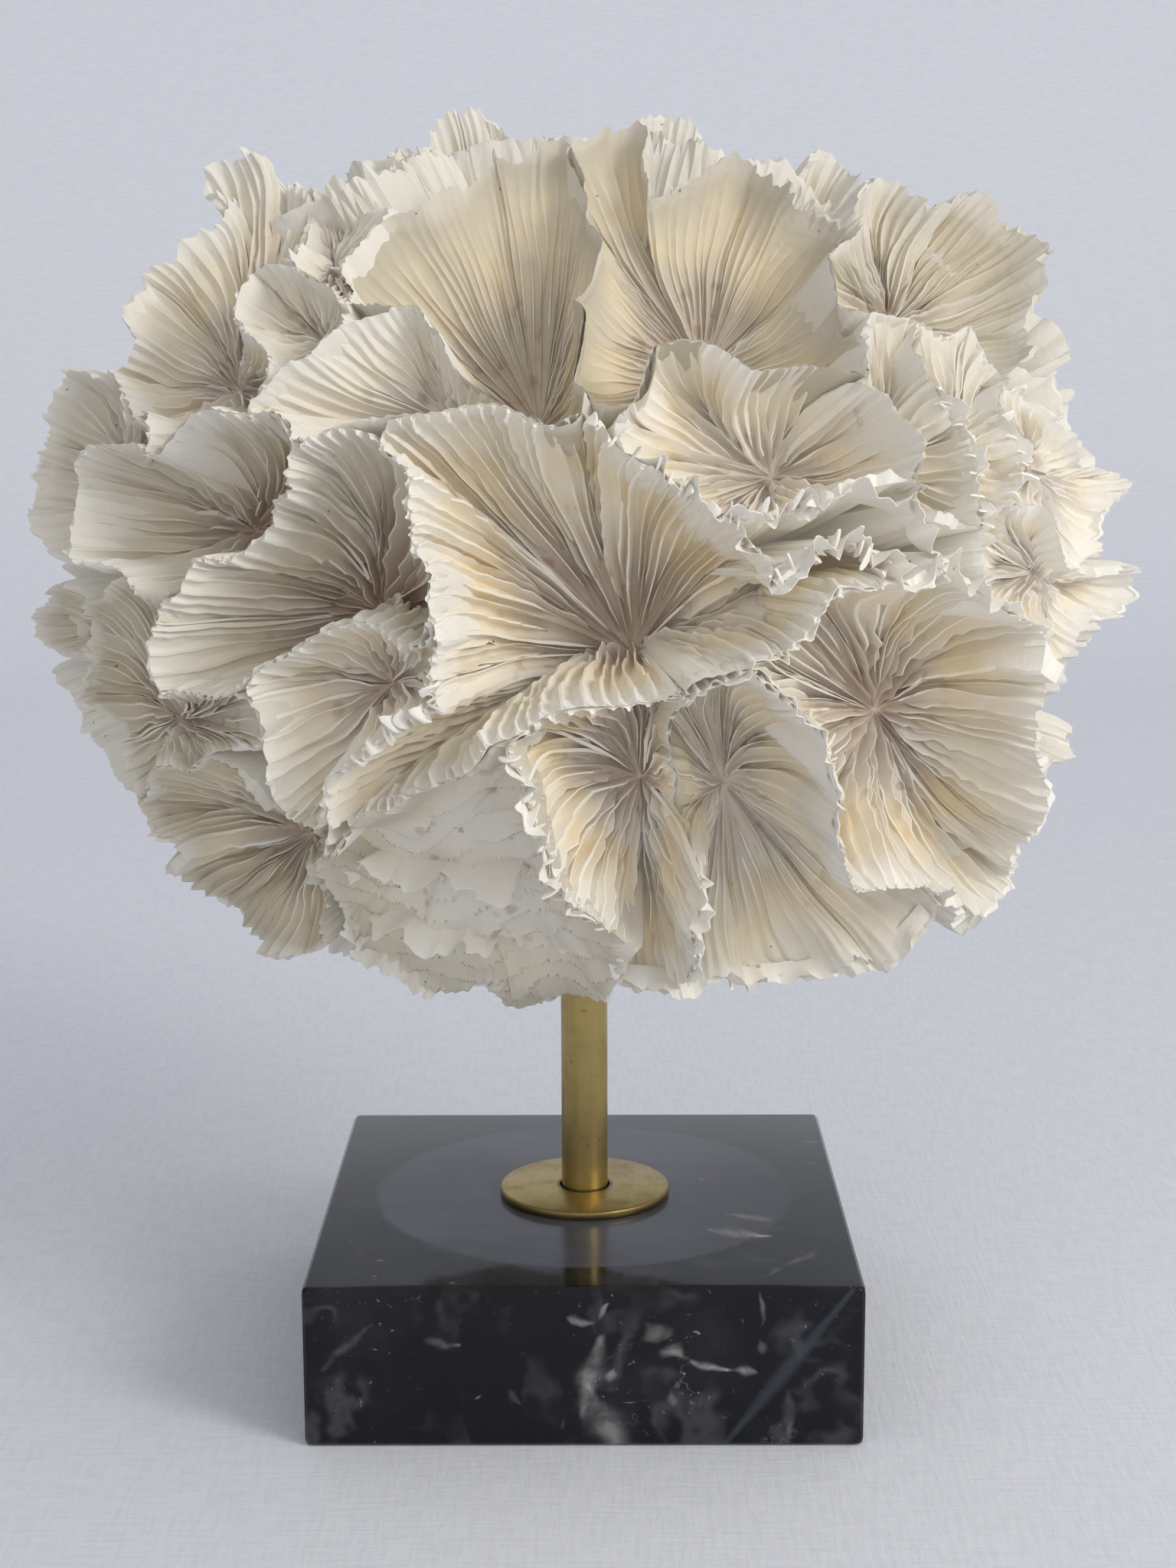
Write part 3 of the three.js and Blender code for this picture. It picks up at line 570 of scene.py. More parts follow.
# Crests that carry a torn frill: piece, stretches of crest, height, sideways wave, and how deep it is rooted.
RUFFLES = [
    ("fans", "heartTop 4 6, browLow 1 0, innerLow 0 0", 4.0, 1.8, 4.0),
    ("heart", "heartTop 6 6, channel 0 2, flowerTop 0 1", 4.5, 2.2, 4.0),
    ("right", "browRight 2 2, innerLow 0 0, flowerTop 1 2, flowerRim 0 0", 3.5, 2.0, 4.0),
    ("right", "inner 3 0", 3.0, 1.6, 3.0),
    ("right", "outer 2 0", 3.0, 1.6, 3.0),
    ("heart", "heartFlower 0 1, chinTop 0 2", 1.8, 0.9, 5.0),
    ("flower", "chinTop 0 0, flowerChin 4 2", 1.6, 0.8, 5.0),
    ("flower", "chinLeft 3 0", 3.0, 1.6, 3.0),
    ("flower", "chinMid 1 2, chinLow 4 4", 3.5, 1.4, 3.0),
    ("skirt", "wallHigh 0 4", 6.0, 2.4, 5.0),
    ("skirt", "wallLow 0 4", 6.0, 2.4, 5.0),
    ("skirt", "skirtRim 0 5", 3.0, 1.6, 3.0),
    ("flower", "chinLow 0 5", 2.5, 1.4, 3.0),
]


def traced_rim(words):
    """Points along stretches of crest, each written as a crest's name and its first and last point."""
    points = []
    for stretch in words.split(", "):
        line, first, last = stretch.split()
        first, last = int(first), int(last)
        step = -1 if last < first else 1
        points += [CREST[line][i] for i in range(first, last + step, step)]
    return np.array(points, float)


def round_rim(number, azimuth, elevation, across, up, floor, rim):
    """The deepest point of a cup on the hidden side, and its uneven round rim."""
    azimuth, elevation = math.radians(azimuth), math.radians(elevation)
    middle = np.array((math.sin(azimuth) * math.cos(elevation), -math.cos(azimuth) * math.cos(elevation),
                       math.sin(elevation)))
    east = np.array((math.cos(azimuth), math.sin(azimuth), 0))
    north = np.cross(middle, east)
    turn = (number - 2 * math.pi * np.arange(ROUND_RIM_POINTS) / ROUND_RIM_POINTS)[:, None]
    uneven = (1 + ROUND_OVAL * np.sin(2 * turn + ROUND_OVAL_PHASE * number)
              + ROUND_LOBES * np.sin(3 * turn + ROUND_LOBES_PHASE * number))
    reach = np.radians(uneven * np.hypot(across * np.cos(turn), up * np.sin(turn)))
    way = np.cos(reach) * middle + np.sin(reach) * (np.cos(turn) * east + np.sin(turn) * north)
    height = rim * (1 + ROUND_TILT * np.sin(turn + ROUND_TILT_PHASE * number)
                    + ROUND_WAVE * np.sin(3 * turn + number))
    return COLONY_CENTRE + COLONY_HALF * floor * middle, COLONY_CENTRE + COLONY_HALF * height * way


LINE_STEPS = 12


def flowing_line(points):
    """A closed smooth line through the points."""
    share = np.linspace(0, 1, LINE_STEPS, endpoint=False)[:, None]
    line = []
    for i in range(len(points)):
        a, b, c, d = (points[(i + k) % len(points)] for k in (-1, 0, 1, 2))
        line.append(0.5 * (2 * b + (c - a) * share + (2 * a - 5 * b + 4 * c - d) * share ** 2
                           + (3 * b - a - 3 * c + d) * share ** 3))
    return np.concatenate(line)


def run_of(line):
    """How far along the line each of its points lies."""
    return np.concatenate([[0], np.cumsum(np.linalg.norm(np.diff(line[:, :3], axis=0), axis=1))])


def along_line(line, run, spots):
    return np.stack([np.interp(spots, run, track) for track in line.T], 1)


def spread_evenly(line, shares):
    closed = np.concatenate([line, line[:1]])
    run = run_of(closed)
    return along_line(closed, run, shares * run[-1])


def crest_line(words):
    """A smooth open line along stretches of crest, and how far along it each of its points lies."""
    points = traced_rim(words)
    points = np.concatenate([[2 * points[0] - points[1]], points, [2 * points[-1] - points[-2]]])
    line = flowing_line(points)[LINE_STEPS:-2 * LINE_STEPS]
    return line, run_of(line)


def length_of(line):
    return np.linalg.norm(line - np.roll(line, -1, 0), axis=1).sum()


def unit(vectors):
    return vectors / (np.linalg.norm(vectors, axis=-1, keepdims=True) + 1e-9)


def ripple(dice, count, waves):
    """A value that comes round to where it began, from (turns, height) waves."""
    turn = np.linspace(0, 2 * math.pi, count, endpoint=False)
    return sum(height * np.cos(turns * turn + dice.uniform(0, 2 * math.pi)) for turns, height in waves)


def swell(points, seed, waves):
    """A smooth value that depends on place alone, so both sides of a shared crest move alike.
    Each of its waves, given as (length, height), runs three ways."""
    dice = np.random.default_rng(seed)
    value = 0
    for length, height in waves:
        for _ in range(3):
            way = unit(dice.normal(0, 1, 3))
            phase = dice.uniform(0, 2 * math.pi)
            value = value + height * np.sin(2 * math.pi * (points @ way) / length + phase)
    return value


CELL_SHIFT = np.array((0.3, 0.1, 0.7))
SCATTER = np.array((12.9898, 78.233, 37.719))
SCATTER_GAIN = 43758.5


def snapped(points, cell, height):
    """Stretches of crest that broke off at different heights, again by place alone."""
    block = np.floor(points / cell + CELL_SHIFT)
    wave = np.sin(block @ SCATTER) * SCATTER_GAIN
    return height * (2 * (wave - np.floor(wave)) - 1)


def tinted_and_shaded(marks, stain):
    for name, share in zip(("cream_and_shade", "ochre", "mouth_shade"), stain):
        marks[name] = np.full(len(marks["depth"]), share)
    return marks


CREST_LIFT = [(44, 0.6), (21, 0.6), (11, 0.45)]
CREST_LIFT_SEED = 3
CREST_SWAY = [(36, 1.1), (17, 0.8), (8, 0.35)]
CREST_SWAY_SEED = 5
CREST_SNAPS = [(9, 1.2), (4, 0.6)]
SHARED_WEAR = 0.5


def worn(edge, free):
    """A crest line as it is now, by place alone: with its waves and sways, then also stepped where it
    snapped, and the way out of the colony at each point."""
    outward = unit(edge - COLONY_HEART)
    wear = SHARED_WEAR + (1 - SHARED_WEAR) * free
    lift = swell(edge, CREST_LIFT_SEED, CREST_LIFT)
    broken = sum(snapped(edge, cell, height) for cell, height in CREST_SNAPS)
    sway = np.stack([swell(edge, CREST_SWAY_SEED + k, CREST_SWAY) for k in range(3)], 1)
    sway = sway - (sway * outward).sum(1, keepdims=True) * outward
    whole = edge + outward * (lift * wear)[:, None] + sway
    return whole, whole + outward * (broken * wear)[:, None], outward


def end_caps(index):
    """Triangles that close the first and last ring, to the two points that follow all rings."""
    first, last = np.full(index.shape[1], index.size), np.full(index.shape[1], index.size + 1)
    return np.concatenate([
        np.stack([first, np.roll(index[0], -1), index[0]], 1),
        np.stack([last, index[-1], np.roll(index[-1], -1)], 1),
    ])


# How a cup is shaped. A depth of 0 is its mouth and 1 its rim. Lengths are in millimetres.
CUP_SEED = 7
CUP_SEED_STEP = 13
LEAST_BLADES = 16
WALL_BLADE = 0.8
CALM_BLADE = 1.0
BOLD_BLADE = 2.2
BOLD_RANGE = 0.6
BLADE_SHIFT = 0.08
MOUTH_DEPTH = 0.015
LEAST_ROWS = 9
MOST_ROWS = 30
ROW_SPARE = 1.15
WALL_ROWS = 3
RIM_WEAR_BEND = 5
WALL_WEAR_BEND = 9
TOOTH_SPREAD = 0.25
TOOTH_LEAST = 0.3
TOOTH_MORE = 1.2
SHARED_TOOTH = 0.3
CREASES = ((40, 2, 1.0), (22, 3, 0.6), (12, 5, 0.35))
LAYER_HEIGHT = 4.2
LAYER_LEDGE = 1.2
LAYER_WAVES = [(40, 2.0), (18, 0.7), (7, 0.2)]
LAYER_SEED = 41
LUMP_HEIGHT = 0.8
LUMP_WAVES = [(22, 0.8), (9, 0.25)]
LUMP_SEED = 43
RANK_START = np.array((0.0, 0.10, 0.24))
RANK_TALL = np.array((1.0, 0.88, 0.74))
BLADE_RISE = 0.10
SINK_START = 0.35
SINK_RANGE = 0.55
SINK_BEND = 0.8
SINK = 0.74
SINK_BOLD = 0.32
SINK_CALM = 0.92
NOTCH = 0.14
CHIP_CHANCE = 0.03
CHIP_LEFT = 0.6
ROOM_DEPTHS = (0.10, 0.18, 0.28, 0.40)
ROOM_SHARES = (4, 2, 2, 1)
BLUNT_START = 0.3
BLUNT_RANGE = 0.5
BLADE_SPACE = 2.0
BLADE_LEAST = 0.15
BLADE_LEAN = 0.12
DRIFT_WAVES = [(3, 1.0), (7, 0.8), (13, 0.6)]
WEAVE_TURNS = 1.6
WEAVE_DRIFT = 0.35
WEAVE_SHIFT = 0.45
OWN_TURNS = (0.8, 2.2)
OWN_SHIFT = 0.14
SHELL_DROPS = np.array((0.6, 4.0, 14.0, 36.0))
SHELL_OFFSETS = np.array((0.35, 0.9, 1.9, 4.0))
SHARED_OFFSET = 0.06
RIB_TALL = 0.35
RIB_SPREAD = 0.15
OUTSIDE_DEPTH = 1.2


def grow_cup(number, floor, line, free, pitch, blade, fold, stain, row_length):
    """One cup as a closed sheet: blades in the bowl, a ragged rim, and a ribbed outside.
    free is 1 where the rim stands alone and 0 where it is a crest shared with another cup."""
    dice = np.random.default_rng(CUP_SEED + CUP_SEED_STEP * number)
    floor = np.array(floor, float)
    wall = blade < WALL_BLADE
    bold = np.clip((blade - BOLD_BLADE) / BOLD_RANGE, 0, 1)
    round_length = length_of(line)
    blades = max(LEAST_BLADES, int(round(round_length / pitch)))
    columns = blades * len(BLADE_PLACES)
    owner = np.repeat(np.arange(blades), len(BLADE_PLACES))
    deep, raised = np.tile(BLADE_DEEP, blades), np.tile(BLADE_RIM, blades)
    uneven = dice.normal(0, BLADE_SHIFT, blades)
    shares = (np.arange(blades)[:, None] + BLADE_PLACES[None] + uneven[:, None]).ravel() / blades
    edge = spread_evenly(np.column_stack([line, free]), np.clip(shares, 0, 1))
    even, free = edge[:, :3], edge[:, 3]

    # The rim carries a tooth on each blade
    whole, edge, outward = worn(even, free)
    tooth = dice.normal(0, TOOTH_SPREAD, blades)[owner]
    tooth = tooth + (TOOTH_LEAST + TOOTH_MORE * dice.random(blades) ** 2)[owner] * raised
    edge = edge + outward * (tooth * (SHARED_TOOTH + (1 - SHARED_TOOTH) * free))[:, None]

    # The bowl hangs from the unbroken line, and sinks further at the pockets
    axis = unit(floor - COLONY_HEART)
    base = even if wall else whole
    span = base - floor
    climb = (span @ axis)[:, None] * axis
    run = span - climb
    reach = np.linalg.norm(span, axis=1)
    rows = int(np.clip(round(reach.mean() * ROW_SPARE / row_length), LEAST_ROWS, MOST_ROWS))
    rows = WALL_ROWS * rows if wall else rows
    depth = np.linspace(MOUTH_DEPTH, 1, rows)
    level = depth[:, None]
    arch = np.sin(np.pi * level)
    bowl = (floor + run[None] * (1 - (1 - depth) ** BOWL_BEND)[:, None, None]
            + climb[None] * (depth ** BOWL_BEND)[:, None, None])
    bowl = bowl - axis * (arch * BOWL_SAG)[:, None] * reach[None, :, None]
    pocket = np.zeros((rows, columns))
    for centre, width, sunk in HOLLOWS:
        away = np.linalg.norm(bowl - np.array(centre), axis=2)
        pull = np.exp(-(away / width) ** 2) * (1 - level ** 6)
        bowl = bowl - axis * (sunk * pull)[..., None]
        pocket = np.maximum(pocket, pull)
    sideways = np.roll(bowl, -2, 1) - np.roll(bowl, 2, 1)
    facing = unit(np.cross(sideways, np.gradient(bowl, axis=0)))
    if (facing[rows // 2] @ axis).mean() < 0:
        facing = -facing

    # Broad folds in a bowl, and growth layers on a plain wall
    waves = [(int(round_length / length) + least, height) for length, least, height in CREASES]
    crease = ripple(dice, columns, waves)
    held = level ** 1.5 * (1 - (1 - 0.6 * free[None]) * level ** 3)
    bowl = bowl + facing * (fold * crease[None] * held)[..., None]
    if wall:
        layer = (bowl[..., 2] + swell(bowl, LAYER_SEED, LAYER_WAVES)) / LAYER_HEIGHT
        ledge = (1 - (layer - np.floor(layer))) ** 1.5 * arch ** 0.4
        lump = swell(bowl, LUMP_SEED, LUMP_WAVES)
        bowl = bowl + facing * (LAYER_LEDGE * ledge + LUMP_HEIGHT * lump)[..., None]

    # The wear of the rim fades out below it
    bend = WALL_WEAR_BEND if wall else RIM_WEAR_BEND
    bowl = bowl + (edge - base)[None] * (depth ** bend)[:, None, None]

    # Blades: every fourth reaches the mouth and stands tall there, the others end short of it
    rank = np.zeros(blades, int)
    rank[1::2] = 2
    rank[2::4] = 1
    start = RANK_START[rank] + dice.uniform(0, 0.08, blades)
    tall = RANK_TALL[rank] * dice.uniform(0.86, 1.12, blades)
    shape = np.clip((level - start[None]) / BLADE_RISE, 0, 1)
    sink = SINK_CALM if blade <= CALM_BLADE else SINK - SINK_BOLD * bold
    shape = shape * (1 - sink * np.clip((level - SINK_START) / SINK_RANGE, 0, 1) ** SINK_BEND)
    shape[-1] *= 0.5
    notch = 1 + NOTCH * dice.normal(0, 1, (rows, blades))
    notch = np.where(dice.random((rows, blades)) < CHIP_CHANCE, CHIP_LEFT, notch)
    gap = np.linalg.norm(sideways, axis=2).reshape(rows, blades, len(BLADE_PLACES)).mean(2)
    room = np.interp(depth, ROOM_DEPTHS, ROOM_SHARES)[:, None]
    space = BLADE_SPACE * gap * room + BLADE_LEAST
    height = np.minimum(blade * tall[None] * shape * notch, space) * (not wall)
    rounded = np.clip((level - BLUNT_START) / BLUNT_RANGE, 0, 1) * (1 - 0.5 * bold)
    section = deep[None] * (1 - rounded) + raised[None] * rounded
    height = height[:, owner] * section

    # Blades lean, weave together and wander a little on their own
    lean = dice.normal(0, BLADE_LEAN, blades)[owner][None] * height
    drift = ripple(dice, columns, DRIFT_WAVES)
    weave = np.sin(2 * math.pi * (WEAVE_TURNS * level + WEAVE_DRIFT * drift[None])) * arch
    phase = dice.uniform(0, 2 * math.pi, blades)[owner]
    beat = dice.uniform(*OWN_TURNS, blades)[owner]
    own = np.sin(2 * math.pi * beat * level + phase[None]) * arch
    slide = WEAVE_SHIFT * weave + OWN_SHIFT * own * gap[:, owner]
    shift = lean + slide * np.minimum(1, gap[:, owner])
    bowl = bowl + facing * height[..., None] + unit(sideways) * shift[..., None]

    # The outside drops from the rim towards the colony's heart, with faint ribs
    offsets = SHELL_OFFSETS[:, None] * (SHARED_OFFSET + (1 - SHARED_OFFSET) * free)[None]
    rib = (RIB_TALL * raised + RIB_SPREAD * dice.normal(0, 1, columns)) * free
    shell = edge[None] - outward[None] * SHELL_DROPS[:, None, None]
    shell = shell - facing[-1][None] * (offsets + rib[None] * (SHELL_DROPS[:, None] > 1))[..., None]

    points = np.concatenate([bowl.reshape(-1, 3), shell.reshape(-1, 3), [bowl[0].mean(0)],
                             [0.5 * shell[-1].mean(0) + 0.5 * COLONY_HEART]])
    rings = rows + len(SHELL_DROPS)
    index = np.arange(rings * columns).reshape(rings, columns)
    low, high = index[:-1], index[1:]
    quads = np.stack([low, np.roll(low, -1, 1), np.roll(high, -1, 1), high], 2).reshape(-1, 4)
    caps = end_caps(index)
    corner = points[quads[:, 0]]
    normals = np.cross(points[quads[:, 1]] - corner, points[quads[:, 3]] - corner)
    if (normals * (corner - points[-1])).sum() < 0:
        quads, caps = quads[:, ::-1], caps[:, ::-1]
    tail = len(SHELL_DROPS) * columns
    # Share of blade top at each point, from which the finish paints light on the tops and shade in the gaps
    lit = np.ones_like(section) if wall else section * np.clip(3 * shape, 0, 1)[:, owner]
    # In the pockets the depth mark is lowered, so the finish paints more shade there
    inner = (level * (1 - 0.7 * pocket)).ravel()
    marks = {
        "depth": np.concatenate([inner, np.full(tail, OUTSIDE_DEPTH), [0, OUTSIDE_DEPTH]]),
        "blade": np.concatenate([1 - (1 - lit.ravel()) * (0.35 + 0.65 * bold), np.ones(tail), [0, 1]]),
    }
    return points, quads, caps, tinted_and_shaded(marks, stain)


NO_CAPS = np.zeros((0, 3), int)
FRINGE_SEED = 501
FRINGE_PITCH = 2.3
FRINGE_RINGS = ((-0.8, 1.2), (0.3, 1.0), (0.75, 0.7), (1.0, 0.25))
FRINGE_CORNERS = ((-1, -1), (1, -1), (1, 1), (-1, 1))
FRINGE_TILT_ACROSS = 0.8
FRINGE_TILT_AHEAD = 0.6
FRINGE_TALL = (0.2, 1.1)
FRINGE_TALL_BEND = 1.8
FRINGE_WIDE = (0.6, 1.6)
FRINGE_THIN = (0.12, 0.26)
FRINGE_DEPTH = 0.95
# Cream with painted shade, ochre stain and painted mouth shade of the fringes
FRINGE_TINT_AND_SHADE = (0.1, 0, 0)


def grow_fringe(number, words, length):
    """Blade ends that stand up across a crest like the teeth of a comb."""
    dice = np.random.default_rng(FRINGE_SEED + number)
    line, run = crest_line(words)
    count = int(run[-1] / FRINGE_PITCH)
    spots = (np.arange(count) + dice.uniform(0.1, 0.9, count)) / count * run[-1]
    edge = along_line(line, run, spots)
    ahead = unit(along_line(line, run, spots + 0.5) - edge + 1e-6)
    _, edge, outward = worn(edge, np.zeros(count))
    across = unit(np.cross(outward, ahead))
    tilt = across * dice.normal(0, FRINGE_TILT_ACROSS, count)[:, None]
    tilt = tilt + ahead * dice.normal(0, FRINGE_TILT_AHEAD, count)[:, None]
    tall = length * dice.uniform(*FRINGE_TALL, count) ** FRINGE_TALL_BEND
    wide = dice.uniform(*FRINGE_WIDE, count)
    thin = dice.uniform(*FRINGE_THIN, count)
    rings = []
    for share, narrow in FRINGE_RINGS:
        middle = edge + (outward + tilt * max(share, 0)) * (share * tall)[:, None]
        for a, b in FRINGE_CORNERS:
            rings.append(middle + across * (a * narrow * wide)[:, None] + ahead * (b * thin)[:, None])
    points = np.stack(rings, 1).reshape(-1, 3)
    faces = []
    for ring in range(3):
        for k in range(4):
            near, far = 4 * ring + k, 4 * ring + (k + 1) % 4
            faces.append((near, far, far + 4, near + 4))
    faces += [(3, 2, 1, 0), (12, 13, 14, 15)]
    quads = [len(rings) * np.arange(count)[:, None] + np.array(face)[None] for face in faces]
    marks = {"depth": np.full(len(points), FRINGE_DEPTH), "blade": np.ones(len(points))}
    return points, np.concatenate(quads)[:, ::-1], NO_CAPS, tinted_and_shaded(marks, FRINGE_TINT_AND_SHADE)


RUFFLE_SEED = 701
RUFFLE_STEP = 0.55
RUFFLE_TAPER = 4
RUFFLE_END = 0.05
RUFFLE_PLEAT = 9
RUFFLE_HALF = 0.28
RUFFLE_RIB = 0.16
RUFFLE_RIB_PITCH = 1.9
RUFFLE_SHARES = np.array((0.0, 0.25, 0.5, 0.75, 0.93, 1.0))
# Cream with painted shade, ochre stain and painted mouth shade of the frills
RUFFLE_TINT_AND_SHADE = (0.15, 0.2, 0)


def grow_ruffle(number, words, height, wave, sunk):
    """A thin torn frill that stands on a crest and waves from side to side."""
    dice = np.random.default_rng(RUFFLE_SEED + number)
    line, run = crest_line(words)
    count = int(run[-1] / RUFFLE_STEP)
    spots = np.linspace(0, run[-1], count)
    edge = along_line(line, run, spots)
    ahead = unit(np.gradient(edge, axis=0))
    _, edge, outward = worn(edge, np.zeros(count))
    across = unit(np.cross(outward, ahead))
    ends = np.clip(np.minimum(spots, run[-1] - spots) / RUFFLE_TAPER, 0, 1)
    pleats = max(2, run[-1] / RUFFLE_PLEAT)
    turn = 2 * math.pi * pleats * spots / run[-1] + dice.uniform(0, 6)
    turn = turn + 1.2 * np.sin(spots / 7 + dice.uniform(0, 6))
    bend = wave * (np.sin(turn) + 0.45 * np.sin(2.3 * turn + 1))
    tall = height * ends * (0.55 + 0.3 * np.sin(spots / 5 + dice.uniform(0, 6)) + snapped(edge, 2.3, 0.3))
    sheets = []
    for side, order in ((RUFFLE_HALF, RUFFLE_SHARES), (-RUFFLE_HALF, RUFFLE_SHARES[::-1])):
        for share in order:
            thick = side * (1 - 0.7 * share) * np.maximum(ends, RUFFLE_END)
            rib = RUFFLE_RIB * share * np.sin(2 * math.pi * spots / RUFFLE_RIB_PITCH)
            middle = edge - outward * sunk + outward * (share * (tall + sunk))[:, None]
            sheets.append(middle + across * (bend * ends * share ** 1.4 + thick + rib)[:, None])
    points = np.concatenate(sheets)
    index = np.arange(len(points)).reshape(-1, count)
    low, high = index, np.roll(index, -1, 0)
    quads = np.stack([low[:, :-1], low[:, 1:], high[:, 1:], high[:, :-1]], 2).reshape(-1, 4)
    last = len(index) - 1
    end = np.array([(k, k + 1, last - k - 1, last - k) for k in range(len(RUFFLE_SHARES) - 1)])
    quads = np.concatenate([quads, index[end, 0], index[end[:, ::-1], -1]])
    depth = 0.75 + 0.25 * RUFFLE_SHARES
    depth = np.repeat(np.concatenate([depth, depth[::-1]]), count)
    marks = {"depth": depth, "blade": np.ones(len(points))}
    return points, quads[:, ::-1], NO_CAPS, tinted_and_shaded(marks, RUFFLE_TINT_AND_SHADE)


# The stalk's outline from the end of the rod's hole, out round the foot and up to the top: radius and height.
FOOT_OUTLINE = [
    (4.9, 100), (4.9, 82), (5.2, 79), (14, 78.5), (22, 79.5), (28, 83), (32, 90), (36, 100),
    (38, 112), (39, 125), (38, 140), (38, 155), (36, 170), (32, 184), (22, 194), (1, 197),
]
FOOT_COLUMNS = 240
FOOT_RIBS = 40
FOOT_WAVES = [(26, 0.7), (11, 0.5), (5, 0.25)]
FOOT_SEED = 31
# Cream with painted shade, ochre stain and painted mouth shade of the stalk
FOOT_TINT_AND_SHADE = (0.6, 0.3, 0.2)


def grow_foot():
    """The thick ribbed stalk that all cups grow from, with the hole for the rod in the foot of it."""
    turn = np.linspace(0, 2 * math.pi, FOOT_COLUMNS, endpoint=False)
    rings = []
    for radius, height in FOOT_OUTLINE:
        wide = np.interp(height, (100, 125), (1.0, 1.35))
        upright = np.full(FOOT_COLUMNS, float(height))
        ring = np.stack([radius * wide * np.cos(turn), radius * np.sin(turn), upright], 1)
        rough = min(1, max(0, (radius - 6) / 10))
        push = swell(ring, FOOT_SEED, FOOT_WAVES) + 0.5 * np.sin(turn * FOOT_RIBS + 2 * np.sin(3 * turn))
        rings.append(ring + unit(ring * np.array((1, 1, 0))) * (rough * push)[:, None])
    index = np.arange(len(rings) * FOOT_COLUMNS).reshape(-1, FOOT_COLUMNS)
    low, high = index[:-1], index[1:]
    quads = np.stack([np.roll(low, -1, 1), np.roll(high, -1, 1), high, low], 2).reshape(-1, 4)
    points = np.concatenate(rings + [rings[0].mean(0, keepdims=True), rings[-1].mean(0, keepdims=True)])
    marks = {"depth": np.full(len(points), OUTSIDE_DEPTH), "blade": np.ones(len(points))}
    return points, quads, end_caps(index), tinted_and_shaded(marks, FOOT_TINT_AND_SHADE)


CORAL_CREASE = math.radians(38)


def coral_mesh(name, sheets):
    points, quads, caps, marks = [], [], [], []
    count = 0
    for sheet_points, sheet_quads, sheet_caps, sheet_marks in sheets:
        points.append(sheet_points)
        quads.append(sheet_quads + count)
        caps.append(sheet_caps + count)
        marks.append(sheet_marks)
        count += len(sheet_points)
    points, quads, caps = (np.concatenate(part) for part in (points, quads, caps))
    mesh = bpy.data.meshes.new(name)
    mesh.vertices.add(len(points))
    mesh.vertices.foreach_set("co", (points * MM).astype(np.float32).ravel())
    mesh.loops.add(quads.size + caps.size)
    corners = np.concatenate([quads.ravel(), caps.ravel()])
    mesh.loops.foreach_set("vertex_index", corners.astype(np.int32))
    mesh.polygons.add(len(quads) + len(caps))
    starts = np.concatenate([np.arange(len(quads)) * 4, quads.size + np.arange(len(caps)) * 3])
    mesh.polygons.foreach_set("loop_start", starts.astype(np.int32))
    mesh.update(calc_edges=True)
    mesh.validate()
    mesh.shade_smooth()
    mesh.set_sharp_from_angle(angle=CORAL_CREASE)
    for key in marks[0]:
        layer = mesh.attributes.new(key, "FLOAT", "POINT")
        layer.data.foreach_set("value", np.concatenate([m[key] for m in marks]).astype(np.float32))
    return mesh


CORAL_MARKS = ("depth", "blade", "cream_and_shade", "ochre", "mouth_shade")
CORAL_WHITE = (0.90, 0.87, 0.80, 1)
CORAL_CREAM_SHADE = (0.57, 0.52, 0.42, 1)
CORAL_OCHRE = (0.86, 0.715, 0.46, 1)
CORAL_MOUTH_SHADE = (0.52, 0.40, 0.335, 1)
CORAL_TAN = (0.36, 0.22, 0.11, 1)
CORAL_SHADE = (0.43, 0.305, 0.195, 1)
CORAL_SPECK = (0.05, 0.04, 0.03, 1)
CORAL_PAINTED_GLOW = 0.03


